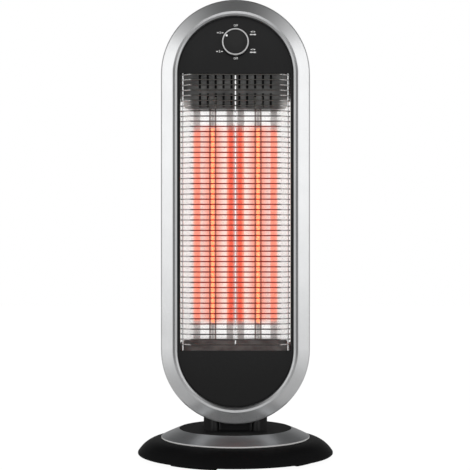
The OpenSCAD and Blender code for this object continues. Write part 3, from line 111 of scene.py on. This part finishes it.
def chosen(tree, share, usual, other):
    """A value that is `usual` where the share is 0, and `other` where it is 1."""
    n = tree.nodes.new("ShaderNodeMix")
    feed(tree, share, n.inputs["Factor"])
    feed(tree, usual, n.inputs["A"])
    feed(tree, other, n.inputs["B"])
    return n.outputs["Result"]


def noise(tree, place, scale, detail=3.0, stretch=(1, 1, 1)):
    scaled = tree.nodes.new("ShaderNodeMapping")
    scaled.inputs["Scale"].default_value = stretch
    link(tree, place, "Object", scaled, "Vector")
    n = tree.nodes.new("ShaderNodeTexNoise")
    n.inputs["Scale"].default_value = scale
    n.inputs["Detail"].default_value = detail
    link(tree, scaled, "Vector", n, "Vector")
    return n.outputs["Fac"]


def ramp(tree, source, low, high, start=0.35, end=0.65):
    """A colour that goes from `low` to `high` while the source goes from `start` to `end`."""
    r = tree.nodes.new("ShaderNodeValToRGB")
    ends = r.color_ramp.elements
    ends[0].position = start
    ends[1].position = end
    ends[0].color = (*low, 1)
    ends[1].color = (*high, 1)
    tree.links.new(source, r.inputs["Fac"])
    return r.outputs["Color"]


def spread(tree, source, low, high):
    """Noise, most of which lies between 0.3 and 0.7, spread from `low` to `high`."""
    return between(tree, source, 0.3, 0.7, low, high, "LINEAR")


def bump(tree, shader, *heights):
    """Heights one on another, each a socket with its strength, and its distance in metres."""
    last = None
    for source, strength, distance in heights:
        b = tree.nodes.new("ShaderNodeBump")
        b.inputs["Strength"].default_value = strength
        b.inputs["Distance"].default_value = distance
        tree.links.new(source, b.inputs["Height"])
        if last:
            link(tree, last, "Normal", b, "Normal")
        last = b
    link(tree, last, "Normal", shader, "Normal")


def ring_distance(tree, x, z):
    """Distance from the line between the middles of the head's two round ends."""
    off_middle = value(tree, "ABSOLUTE", value(tree, "SUBTRACT", z, HEAD_MIDDLE_Z))
    past_end = value(tree, "MAXIMUM", value(tree, "SUBTRACT", off_middle, END_RISE), 0.0)
    flat = tree.nodes.new("ShaderNodeCombineXYZ")
    tree.links.new(x, flat.inputs["X"])
    tree.links.new(past_end, flat.inputs["Z"])
    length = tree.nodes.new("ShaderNodeVectorMath")
    length.operation = "LENGTH"
    tree.links.new(flat.outputs[0], length.inputs[0])
    return length.outputs["Value"]


def beyond(tree, place, axis, low, high, near, far, middle=0.0):
    """A value that goes from `near` to `far` between two distances from `middle` along an axis.

    The axis X counts alike on both sides, and R is the distance from the middle line of the head."""
    split = tree.nodes.new("ShaderNodeSeparateXYZ")
    link(tree, place, "Object", split, "Vector")
    if axis == "R":
        level = ring_distance(tree, split.outputs["X"], split.outputs["Z"])
    elif axis == "X":
        level = value(tree, "ABSOLUTE", split.outputs["X"])
    else:
        level = split.outputs[axis]
    off = value(tree, "ABSOLUTE", value(tree, "SUBTRACT", level, middle))
    return between(tree, off, low, high, near, far)


# Materials

def material(name):
    """A material with a Principled shader, and object coordinates in metres."""
    m = bpy.data.materials.new(name)
    m.use_nodes = True
    tree = m.node_tree
    tree.nodes.clear()
    out = tree.nodes.new("ShaderNodeOutputMaterial")
    shader = tree.nodes.new("ShaderNodeBsdfPrincipled")
    link(tree, shader, "BSDF", out, "Surface")
    place = tree.nodes.new("ShaderNodeTexCoord")
    return m, tree, shader, place


def shader_of(m):
    found = {n.type: n for n in m.node_tree.nodes}
    return m.node_tree, found["BSDF_PRINCIPLED"], found["TEX_COORD"]


def finish_surface(name, colour, rough, metal=0.0, spec=0.5, grain=1800, grain_bump=0.1, depth=0.00005,
                   wave=30, wave_bump=0.0, vary=0.08, rough_vary=0.05):
    """Moulded or painted surface: fine grain, slow waviness, a little colour and gloss variation."""
    smoothest, wave_depth = 0.02, 0.0006
    m, tree, shader, place = material(name)
    shader.inputs["Metallic"].default_value = metal
    shader.inputs["Specular IOR Level"].default_value = spec
    fine = noise(tree, place, grain, 4.0)
    slow = noise(tree, place, wave)
    low = [c * (1 - vary) for c in colour]
    high = [min(1, c * (1 + vary)) for c in colour]
    tree.links.new(ramp(tree, slow, low, high), shader.inputs["Base Color"])
    roughness = spread(tree, fine, max(smoothest, rough - rough_vary), rough + rough_vary)
    tree.links.new(roughness, shader.inputs["Roughness"])
    heights = [(fine, grain_bump, depth)]
    if wave_bump:
        heights.append((slow, wave_bump, wave_depth))
    bump(tree, shader, *heights)
    return m


def grey(level):
    return (level, level, level)


def tinted(m, colour, *patch, kind="MULTIPLY"):
    """A surface's colour changed in a soft-edged patch, alike on both sides of the middle plane.

    Each part of `patch` is an axis with the patch's middle, half size and soft edge along it."""
    tree, shader, place = shader_of(m)
    body = shader.inputs["Base Color"].links[0].from_socket
    parts = [beyond(tree, place, axis, half - soft, half + soft, 1.0, 0.0, middle)
             for axis, middle, half, soft in patch]
    mix = tree.nodes.new("ShaderNodeMix")
    mix.data_type = "RGBA"
    mix.blend_type = kind
    tree.links.new(product(tree, *parts), mix.inputs[MIX_SHARE])
    tree.links.new(body, mix.inputs[MIX_A])
    mix.inputs[MIX_B].default_value = (*colour, 1)
    tree.links.new(mix.outputs[MIX_RESULT], shader.inputs["Base Color"])


def graded(m, name, axis, low, high, near, far, middle=0.0):
    """A setting of the shader that changes with the distance from a plane, as in beyond()."""
    tree, shader, place = shader_of(m)
    tree.links.new(beyond(tree, place, axis, low, high, near, far, middle), shader.inputs[name])


# The ring, with painted shade and painted light. Both facets of the bevel round its opening are painted
# darker than the face as painted shade, and the inner edge is a black line of painted shade. The face is
# painted a little darker along its sides as painted shade, and it is duller and painted paler at its lowest
# point, where it mirrors only the base, as painted light.
silver = finish_surface("silver_paint", (0.645, 0.65, 0.655), 0.30, metal=0.9, grain=2600, grain_bump=0.05,
                        vary=0.02, rough_vary=0.05)
STRAIGHT_SIDES = ("Z", HEAD_MIDDLE_Z, 0.208, 0.012)
BELOW_TOP = ("Z", 0.2850, 0.300, 0.030)
LONG_SIDES = ("Z", 0.3600, 0.205, 0.030)
INNER_FACET = ("R", 0.0826, 0.0020, 0.0004), ("Y", -0.0485, 0.0018, 0.0003)
INNER_EDGE = ("R", 0.0808, 0.0012, 0.0003), ("Y", -0.0485, 0.0020, 0.0003)
# painted shade on the face's sides, on the bevel's facets and at its inner edge
tinted(silver, grey(0.91), LONG_SIDES)
tinted(silver, grey(0.62), *INNER_FACET, BELOW_TOP)
tinted(silver, grey(0.80), ("R", 0.0862, 0.0016, 0.0005), BELOW_TOP)
tinted(silver, grey(0.64), ("R", 0.0868, 0.0016, 0.0006), STRAIGHT_SIDES)
tinted(silver, grey(0.08), *INNER_EDGE)
# painted light at the lowest point: less metallic, and paler in colour
graded(silver, "Metallic", "Z", 0.055, 0.080, 0.78, 0.90)
tinted(silver, grey(1.5), ("R", 0.0960, 0.0080, 0.0010), ("X", 0.0, 0.045, 0.020),
       ("Z", 0.045, 0.035, 0.015))

# The base's trim band, with a pale, matt line along its lower edge as a painted highlight
band = finish_surface("silver_band", (0.40, 0.41, 0.42), 0.38, metal=0.85, grain=2600, grain_bump=0.05,
                      vary=0.02, rough_vary=0.05)
tinted(band, (0.62, 0.62, 0.61), ("Z", 0.0, 0.02955, 0.00015), kind="MIX")
graded(band, "Metallic", "Z", 0.0294, 0.0297, 0.0, 0.85)

# The fascia, painted a little paler at its top as painted light and darker at its bottom as painted shade
fascia = finish_surface("fascia_black", (0.0042, 0.0042, 0.0044), 0.28, spec=0.14, grain=2400, grain_bump=0.1)
tinted(fascia, grey(2.0), ("Z", 0.640, 0.060, 0.030))
tinted(fascia, grey(0.2), ("Z", 0.060, 0.070, 0.030))

# The other black mouldings. The neck's outer faces are more matt than the inner sides of its columns.
shell = finish_surface("shell_black", (0.008, 0.008, 0.0085), 0.55, spec=0.3, grain=1500, grain_bump=0.5,
                       depth=0.0001)
gloss = finish_surface("base_black", (0.0045, 0.0045, 0.0048), 0.50, spec=0.05, grain=2000, grain_bump=0.08)
satin = finish_surface("disc_black", (0.004, 0.004, 0.0042), 0.70, spec=0.2, grain=2000, grain_bump=0.15)
column = finish_surface("neck_black", (0.0025, 0.0025, 0.0026), 0.42, spec=0.42, grain=2000, grain_bump=0.08)
graded(column, "Roughness", "X", 0.0045, 0.0085, 0.34, 0.85, 0.0275)
knob = finish_surface("knob_black", (0.010, 0.010, 0.010), 0.36, spec=0.2, grain=2600, grain_bump=0.15)
rim = finish_surface("rim_silver", (0.55, 0.55, 0.55), 0.32, metal=0.3, grain=3000, grain_bump=0.03,
                     vary=0.02)
dot = finish_surface("dot_white", (0.85, 0.85, 0.84), 0.5, grain=3000)
bright_wire = finish_surface("guard_upright", (0.85, 0.85, 0.85), 0.18, metal=0.9, grain=1500,
                             grain_bump=0.04, vary=0.05)

# The reflector, with the coils' red glow painted on as painted light, as high as the coils reach: a little
# on its wings, more in its troughs with their outer walls, most behind the tubes, at the foot of the ridge
# and on the ridge
sheet = finish_surface("reflector_sheet", (0.98, 0.975, 0.965), 0.29, metal=0.72, grain=1400,
                       grain_bump=0.02, wave=60, wave_bump=0.2, vary=0.015, rough_vary=0.03)
GLOW_HEIGHT = ("Z", 0.3335, 0.1405, 0.006)
tinted(sheet, (0.97, 1.0, 1.0), ("X", 0.0700, 0.0095, 0.002), GLOW_HEIGHT)
tinted(sheet, (1.0, 0.79, 0.725), ("X", 0.0, 0.0595, 0.005), GLOW_HEIGHT)
tinted(sheet, (0.90, 0.86, 0.87), ("X", 0.0505, 0.0065, 0.003), GLOW_HEIGHT)
tinted(sheet, (0.96, 0.52, 0.44), ("X", 0.0325, 0.0115, 0.0065), GLOW_HEIGHT)
tinted(sheet, (0.86, 0.43, 0.39), ("X", 0.0066, 0.0030, 0.0016), GLOW_HEIGHT)
tinted(sheet, (0.84, 0.53, 0.52), ("X", 0.0, 0.0035, 0.001), GLOW_HEIGHT)

# The panels above and below the reflector. The lower one is paler, and the vent panel's lower corners are
# painted pale as a painted reflection of the reflector beside them.
panel = finish_surface("panel_grey", (0.086, 0.087, 0.085), 0.45, grain=1800, grain_bump=0.15, wave=60,
                       vary=0.35)
tinted(panel, (1.3, 1.25, 1.25), ("Z", 0.155, 0.030, 0.005))
tinted(panel, (0.70, 0.70, 0.68), ("X", 0.0760, 0.0100, 0.007), ("Z", 0.5030, 0.0070, 0.006), kind="MIX")

# Fittings, fasteners, drive, base and wiring
dull = finish_surface("dull_steel", (0.06, 0.06, 0.06), 0.6, metal=0.6, grain=900, grain_bump=0.2, vary=0.3)
ceramic = finish_surface("cap_ceramic", (0.42, 0.40, 0.36), 0.7, grain=1200, grain_bump=0.3)
steel = finish_surface("plated_steel", (0.55, 0.55, 0.56), 0.32, metal=1.0, grain=1500, grain_bump=0.1)
can = finish_surface("motor_can", (0.5, 0.5, 0.5), 0.4, metal=1.0, grain=1500, grain_bump=0.1)
nylon = finish_surface("washer_nylon", (0.78, 0.78, 0.72), 0.5, grain=1500, grain_bump=0.1)
rubber = finish_surface("foot_rubber", (0.012, 0.012, 0.012), 0.8, spec=0.3, grain=1400, grain_bump=0.5,
                        depth=0.0001)
plate = finish_surface("plate_black", (0.012, 0.012, 0.012), 0.5, grain=1600, grain_bump=0.3)
iron = finish_surface("ballast_iron", (0.05, 0.05, 0.055), 0.75, metal=0.6, grain=500, grain_bump=0.7,
                      depth=0.0003)
inner = finish_surface("inner_black", (0.015, 0.015, 0.015), 0.5, grain=1500, grain_bump=0.2)
ivory = finish_surface("block_ivory", (0.7, 0.67, 0.56), 0.5, grain=1500, grain_bump=0.1)
brass = finish_surface("brass", (0.7, 0.5, 0.2), 0.3, metal=1.0, grain=1500, grain_bump=0.1)
lead_black = finish_surface("lead_black", (0.02, 0.02, 0.02), 0.6, grain=2500, grain_bump=0.3)
lead_blue = finish_surface("lead_blue", (0.03, 0.08, 0.35), 0.6, grain=2500, grain_bump=0.3)


def wire_material(name):
    """Chrome wire, painted dark in front of the reflector as painted shade, and bright where it bends back.
    """
    painted_shade, chrome = (0.09, 0.085, 0.08), (0.90, 0.90, 0.89)
    m, tree, shader, place = material(name)
    shader.inputs["Metallic"].default_value = 0.9
    fine = noise(tree, place, 1500)
    outward = beyond(tree, place, "X", 0.061, 0.0665, 0.0, 1.0)
    tree.links.new(ramp(tree, outward, painted_shade, chrome, 0.0, 1.0), shader.inputs["Base Color"])
    tree.links.new(spread(tree, fine, 0.12, 0.24), shader.inputs["Roughness"])
    bump(tree, shader, (fine, 0.05, 0.00003))
    return m


wire = wire_material("guard_wire")
# painted light: the coils' red glow on the wires in front of them, as high as the coils reach
tinted(wire, (0.42, 0.04, 0.035), ("X", 0.0, 0.0585, 0.003), GLOW_HEIGHT, kind="MIX")


def quartz_material(name):
    """Thin clear tube: see-through face on, darker red and more solid towards its edges."""
    clear, edge_red = (0.8, 0.7, 0.6), (0.16, 0.012, 0.010)
    m, tree, shader, place = material(name)
    shader.inputs["Specular IOR Level"].default_value = 1.0
    drawn = noise(tree, place, 900, 2.0, (1, 1, 0.02))
    tree.links.new(spread(tree, drawn, 0.03, 0.1), shader.inputs["Roughness"])
    weight = tree.nodes.new("ShaderNodeLayerWeight")
    weight.inputs["Blend"].default_value = 0.35
    edge = weight.outputs["Facing"]
    tree.links.new(ramp(tree, edge, clear, edge_red, 0.15, 0.45), shader.inputs["Base Color"])
    tree.links.new(between(tree, edge, 0.20, 0.50, 0.08, 0.85), shader.inputs["Alpha"])
    bump(tree, shader, (drawn, 0.05, 0.00005))
    return m


quartz = quartz_material("quartz")


def glow_material(name):
    """Glowing carbon: orange where it is hottest, redder and dimmer where the weave is cooler."""
    cooler, hottest = (1.0, 0.12, 0.05), (1.0, 0.29, 0.11)
    m, tree, shader, place = material(name)
    shader.inputs["Base Color"].default_value = (0.05, 0.04, 0.04, 1)
    shader.inputs["Roughness"].default_value = 0.7
    shader.inputs["Emission Strength"].default_value = 2.8
    weave = noise(tree, place, 700, 2.0)
    tree.links.new(ramp(tree, weave, cooler, hottest), shader.inputs["Emission Color"])
    return m


glow = glow_material("glowing_carbon")

FINISH = {
    silver: ["front_ring"],
    band: ["base_trim"],
    fascia: ["front_fascia"],
    shell: ["rear_shell"],
    gloss: ["base_shell"],
    satin: ["turntable"],
    column: ["neck"],
    knob: ["control_knob"],
    rim: ["knob_rim"],
    dot: ["knob_pointer"],
    wire: ["guard_cross_wires"],
    bright_wire: ["guard_uprights"],
    sheet: ["reflector"],
    panel: ["vent_panel", "sill_panel"],
    quartz: ["quartz_tube_left", "quartz_tube_right"],
    ceramic: ["tube_caps"],
    dull: ["tube_bracket_upper", "tube_bracket_lower", "bracket_screws"],
    steel: ["coil_tails", "switch_screws", "case_screws", "reflector_screws", "neck_screws", "spindle",
            "spindle_screws", "swing_lever", "motor_shaft", "motor_screws", "base_screws",
            "plunger_spring", "tip_bracket", "tip_screws"],
    can: ["swing_motor"],
    nylon: ["thrust_washer", "lower_washer", "link", "crank", "tip_plunger"],
    rubber: ["foot_pads", "cord_inlet"],
    plate: ["base_plate"],
    iron: ["ballast"],
    inner: ["thermal_cutout", "rotary_switch", "tip_switch"],
    ivory: ["terminal_block"],
    brass: ["switch_shaft"],
    lead_black: ["switch_leads", "upper_tube_leads", "head_supply_lead", "base_supply_lead"],
    lead_blue: ["lower_tube_leads"],
}
for finish, names in FINISH.items():
    for name in names:
        for s in nodes[name].material_slots:
            s.material = finish


# Pieces

def add_mesh(name, bm, finish, body, smooth=True):
    """A piece from a bmesh, on its body and in its material slot."""
    mesh = bpy.data.meshes.new(name)
    bm.to_mesh(mesh)
    bm.free()
    for p in mesh.polygons:
        p.use_smooth = smooth
    mesh.materials.append(finish)
    obj = bpy.data.objects.new(name, mesh)
    bpy.context.scene.collection.objects.link(obj)
    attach(obj, body)
    return obj


def helix_ribbon(name, node):
    """A flat carbon ribbon wound into a coil, in the space of the plain rod that it replaces."""
    pitch, steps = 0.0042, 14
    half_w, half_t = 0.00125, 0.00022
    side_gap, end_gap = 0.0002, 0.0015
    low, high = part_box(node)
    cx, cy = (low[0] + high[0]) / 2, (low[1] + high[1]) / 2
    outer_r = (high[0] - low[0]) / 2 - side_gap
    turns = int((high[2] - low[2] - 2 * end_gap) / pitch)
    bm = bmesh.new()
    rings = []
    for i in range(turns * steps + 1):
        a = 2 * math.pi * i / steps
        z = low[2] + end_gap + pitch * i / steps
        ring = []
        for dr, dz in ((-half_t, -half_w), (half_t, -half_w), (half_t, half_w), (-half_t, half_w)):
            r = outer_r - half_t + dr
            ring.append(bm.verts.new((cx + r * math.cos(a), cy + r * math.sin(a), z + dz)))
        rings.append(ring)
    for a, b in zip(rings, rings[1:]):
        for k in range(4):
            bm.faces.new((a[k], a[(k + 1) % 4], b[(k + 1) % 4], b[k]))
    bm.faces.new(rings[0][::-1])
    bm.faces.new(rings[-1])
    bmesh.ops.recalc_face_normals(bm, faces=bm.faces)
    piece = add_mesh(name, bm, glow, "head", smooth=False)
    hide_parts(node)


helix_ribbon("carbon_ribbon_left", "carbon_coil_left")
helix_ribbon("carbon_ribbon_right", "carbon_coil_right")


def weld_beads():
    """Weld beads where the guard's wires cross its three uprights."""
    count, wire_r, upright_r = 53, 0.0009, 0.0011
    centre_sink, side_sink = 0.00008, 0.0003
    bead_r, wide, deep, tall = 0.0011, 1.15, 0.5, 0.9
    low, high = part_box("guard_cross_wires")
    side_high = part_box("guard_uprights")[1]
    step = (high[2] - low[2] - 2 * wire_r) / (count - 1)
    side_x = side_high[0] - upright_r
    centre_y = low[1] + 2 * wire_r + centre_sink
    side_y = side_high[1] - 2 * upright_r - side_sink
    bm = bmesh.new()
    for i in range(count):
        z = low[2] + wire_r + i * step
        for x, y in ((0, centre_y), (-side_x, side_y), (side_x, side_y)):
            bead = bmesh.ops.create_icosphere(bm, subdivisions=1, radius=bead_r)
            for v in bead["verts"]:
                v.co = Vector((x + v.co.x * wide, y + v.co.y * deep, z + v.co.z * tall))
    add_mesh("guard_welds", bm, bright_wire, "head")


weld_beads()

# Dial marks: plain numbers, bars and OFF, painted on the fascia round the knob
FASCIA_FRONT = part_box("front_fascia")[0][1]
PAINT = 0.00005     # half the thickness of the paint


def mark(name, words, x, z, size, wide=1.0, weight=0.00005):
    """Printed letters or digits, centred at x, z."""
    data = bpy.data.curves.new(name, "FONT")
    data.body = words
    data.size = size
    data.align_x = "CENTER"
    data.align_y = "CENTER"
    data.extrude = PAINT
    data.offset = weight
    data.materials.append(dot)
    obj = bpy.data.objects.new(name, data)
    obj.location = (x, FASCIA_FRONT - PAINT, z)
    obj.rotation_euler = (math.radians(90), 0, 0)
    obj.scale = (wide, 1, 1)
    bpy.context.scene.collection.objects.link(obj)
    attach(obj, "head")


def printed(name, *outlines):
    """Printed bars and arrows: flat outlines of (x, z) on the fascia, given the paint's thickness."""
    bm = bmesh.new()
    for outline in outlines:
        front = [bm.verts.new((x, FASCIA_FRONT - 2 * PAINT, z)) for x, z in outline]
        rear = [bm.verts.new((x, FASCIA_FRONT, z)) for x, z in outline]
        bm.faces.new(front)
        bm.faces.new(rear[::-1])
        for i in range(len(outline)):
            k = (i + 1) % len(outline)
            bm.faces.new((front[i], rear[i], rear[k], front[k]))
    bmesh.ops.recalc_face_normals(bm, faces=bm.faces)
    add_mesh(name, bm, dot, "head", smooth=False)


def bar(x, z, w, h):
    return [(x - w / 2, z - h / 2), (x + w / 2, z - h / 2), (x + w / 2, z + h / 2), (x - w / 2, z + h / 2)]


def arrow(x, z, w, h, line):
    """A double-headed arrow, the sign for swinging from side to side."""
    neck = w / 2 - 0.0024
    right = [(neck, line / 2), (neck, h / 2), (w / 2, 0), (neck, -h / 2), (neck, -line / 2)]
    left = [(-a, -b) for a, b in right]
    return [(x + a, z + b) for a, b in right + left]


OFF_X, OFF_SIZE, OFF_WIDE, OFF_WEIGHT = 0.0005, 0.0041, 0.84, 0.00006
mark("dial_off_top", "OFF", OFF_X, 0.6138, OFF_SIZE, OFF_WIDE, OFF_WEIGHT)
mark("dial_off_bottom", "OFF", OFF_X, 0.5673, OFF_SIZE, OFF_WIDE, OFF_WEIGHT)

# a digit between two bars on the left, and the same over an arrow on the right
LINE = 0.0012
for name, x, z in (("dial_left_upper", -0.0215, 0.60365), ("dial_left_lower", -0.0224, 0.57725)):
    aside, bar_w = 0.0033, 0.0026
    mark(name, "2", x, z, 0.0044)
    printed(name + "_bars", bar(x - aside, z, bar_w, LINE), bar(x + aside, z, bar_w, LINE))
for name, x, z in (("dial_right_upper", 0.02475, 0.6031), ("dial_right_lower", 0.0247, 0.57805)):
    aside, bar_w, rise, drop = 0.0022, 0.0020, 0.0019, 0.0020
    mark(name, "1", x, z + rise, 0.0042)
    printed(name + "_bars", bar(x - aside, z + rise, bar_w, LINE), bar(x + aside, z + rise, bar_w, LINE),
            arrow(x, z - drop, 0.0095, 0.0027, LINE))


# Floor, world and lamps

def make_floor():
    """A pale table top. Its front edge is out of the picture, so that the part's front looks into the dark.

    The camera sees it nearly white, and mirrors and glass see a little of that white."""
    side, front, rear = 3, -0.22, 4
    seen_share, mirrored_share = 0.88, 0.15
    bm = bmesh.new()
    corners = [(-side, front, 0), (side, front, 0), (side, rear, 0), (-side, rear, 0)]
    bm.faces.new([bm.verts.new(c) for c in corners])
    mesh = bpy.data.meshes.new("floor")
    bm.to_mesh(mesh)
    bm.free()
    floor = bpy.data.objects.new("floor", mesh)
    bpy.context.scene.collection.objects.link(floor)
    m = bpy.data.materials.new("floor")
    m.use_nodes = True
    tree = m.node_tree
    tree.nodes.clear()
    out = tree.nodes.new("ShaderNodeOutputMaterial")
    plain = tree.nodes.new("ShaderNodeBsdfDiffuse")
    plain.inputs["Color"].default_value = (0.50, 0.50, 0.50, 1)
    white = tree.nodes.new("ShaderNodeEmission")
    white.inputs["Strength"].default_value = 1.10
    path = tree.nodes.new("ShaderNodeLightPath")
    mirrored = value(tree, "MAXIMUM", path.outputs["Is Glossy Ray"], path.outputs["Is Transmission Ray"])
    share = value(tree, "MAXIMUM", product(tree, path.outputs["Is Camera Ray"], seen_share),
                  product(tree, mirrored, mirrored_share))
    mix = tree.nodes.new("ShaderNodeMixShader")
    tree.links.new(share, mix.inputs["Fac"])
    tree.links.new(plain.outputs[0], mix.inputs[1])
    tree.links.new(white.outputs[0], mix.inputs[2])
    link(tree, mix, "Shader", out, "Surface")
    mesh.materials.append(m)


make_floor()

# The two soft boxes: how far a direction points aside, and how bright they are there as a share of BOX_POWER
BOX_POWER = 1.5
SOFT_BOXES = [(0.0, 0.014), (0.13, 0.018), (0.26, 0.058), (0.38, 0.130), (0.49, 0.275), (0.587, 0.395),
              (0.663, 0.445), (0.72, 0.450), (0.80, 0.520), (0.87, 0.80), (0.94, 0.95), (1.0, 0.95)]


def make_world():
    """White for the camera, even light for diffuse rays, and a studio for what the surfaces mirror.

    The studio is laid out by the direction x, y, z, and the camera looks along +y."""
    strip_power, wall_power, patch_power, floor_power, backdrop_power = 0.95, 0.45, 2.1, 0.22, 0.5
    even_light, seen_white = 0.9, 1.0
    world = bpy.data.worlds.new("studio")
    bpy.context.scene.world = world
    world.use_nodes = True
    tree = world.node_tree
    tree.nodes.clear()
    out = tree.nodes.new("ShaderNodeOutputWorld")
    back = tree.nodes.new("ShaderNodeBackground")
    back.inputs["Color"].default_value = (1, 1, 1, 1)
    link(tree, back, "Background", out, "Surface")
    coord = tree.nodes.new("ShaderNodeTexCoord")
    split = tree.nodes.new("ShaderNodeSeparateXYZ")
    link(tree, coord, "Generated", split, "Vector")
    x, y, z = split.outputs
    aside = value(tree, "ABSOLUTE", x)
    level = value(tree, "ABSOLUTE", z)

    # tall soft boxes beside the camera
    boxes = tree.nodes.new("ShaderNodeFloatCurve")
    curve = boxes.mapping.curves[0]
    curve.points[0].location = SOFT_BOXES[0]
    curve.points[1].location = SOFT_BOXES[-1]
    for point in SOFT_BOXES[1:-1]:
        curve.points.new(*point)
    boxes.mapping.update()
    tree.links.new(aside, boxes.inputs["Value"])
    # darker behind them, down to the backdrop's edge, and darker well below the horizon
    bright = product(tree, boxes.outputs[0], BOX_POWER, between(tree, y, -0.2, 0.15, 1.0, 0.3),
                     between(tree, z, -0.60, -0.20, 0.5, 1.05))

    # strips above and below the camera, and the lit wall over it
    near = between(tree, aside, 0.2, 0.45, 1.0, 0.0)
    front = between(tree, y, -0.75, -0.85)
    strips = product(tree, between(tree, level, 0.20, 0.28), between(tree, level, 0.46, 0.54, 1.0, 0.0),
                     near, strip_power, front)
    wall = product(tree, between(tree, z, -0.04, 0.10), between(tree, z, 0.2, 0.3, 1.0, 0.0),
                   front, near, wall_power)
    # the lit patch behind the camera, which only surfaces square to the view mirror
    patch = product(tree, between(tree, aside, 0.12, 0.20, 1.0, 0.0),
                    between(tree, level, 0.16, 0.24, 1.0, 0.0), front, patch_power)
    # light from the floor in front, which only the downward faces mirror
    low_floor = product(tree, between(tree, z, -0.56, -0.68), near, floor_power)
    for light in (strips, wall, patch, low_floor):
        bright = value(tree, "ADD", bright, light)
    backdrop = product(tree, between(tree, y, 0.86, 0.93), backdrop_power)
    bright = value(tree, "MAXIMUM", bright, backdrop)

    path = tree.nodes.new("ShaderNodeLightPath")
    bright = chosen(tree, path.outputs["Is Diffuse Ray"], bright, even_light)
    bright = chosen(tree, path.outputs["Is Camera Ray"], bright, seen_white)
    tree.links.new(bright, back.inputs["Strength"])


make_world()


def lamp(name, place, target, size, energy):
    data = bpy.data.lights.new(name, "AREA")
    data.shape = "RECTANGLE"
    data.size, data.size_y = size
    data.energy = energy
    obj = bpy.data.objects.new(name, data)
    obj.location = place
    obj.rotation_euler = (Vector(target) - Vector(place)).to_track_quat("-Z", "Y").to_euler()
    bpy.context.scene.collection.objects.link(obj)


LAMP_ASIDE, LAMP_TARGET, LAMP_SIZE, LAMP_ENERGY = 1.7, (0, 0, 0.3), (0.9, 1.6), 5
lamp("soft_left", (-LAMP_ASIDE, -1.5, 0.9), LAMP_TARGET, LAMP_SIZE, LAMP_ENERGY)
lamp("soft_right", (LAMP_ASIDE, -1.5, 0.9), LAMP_TARGET, LAMP_SIZE, LAMP_ENERGY)

bpy.context.scene.view_settings.view_transform = "Standard"
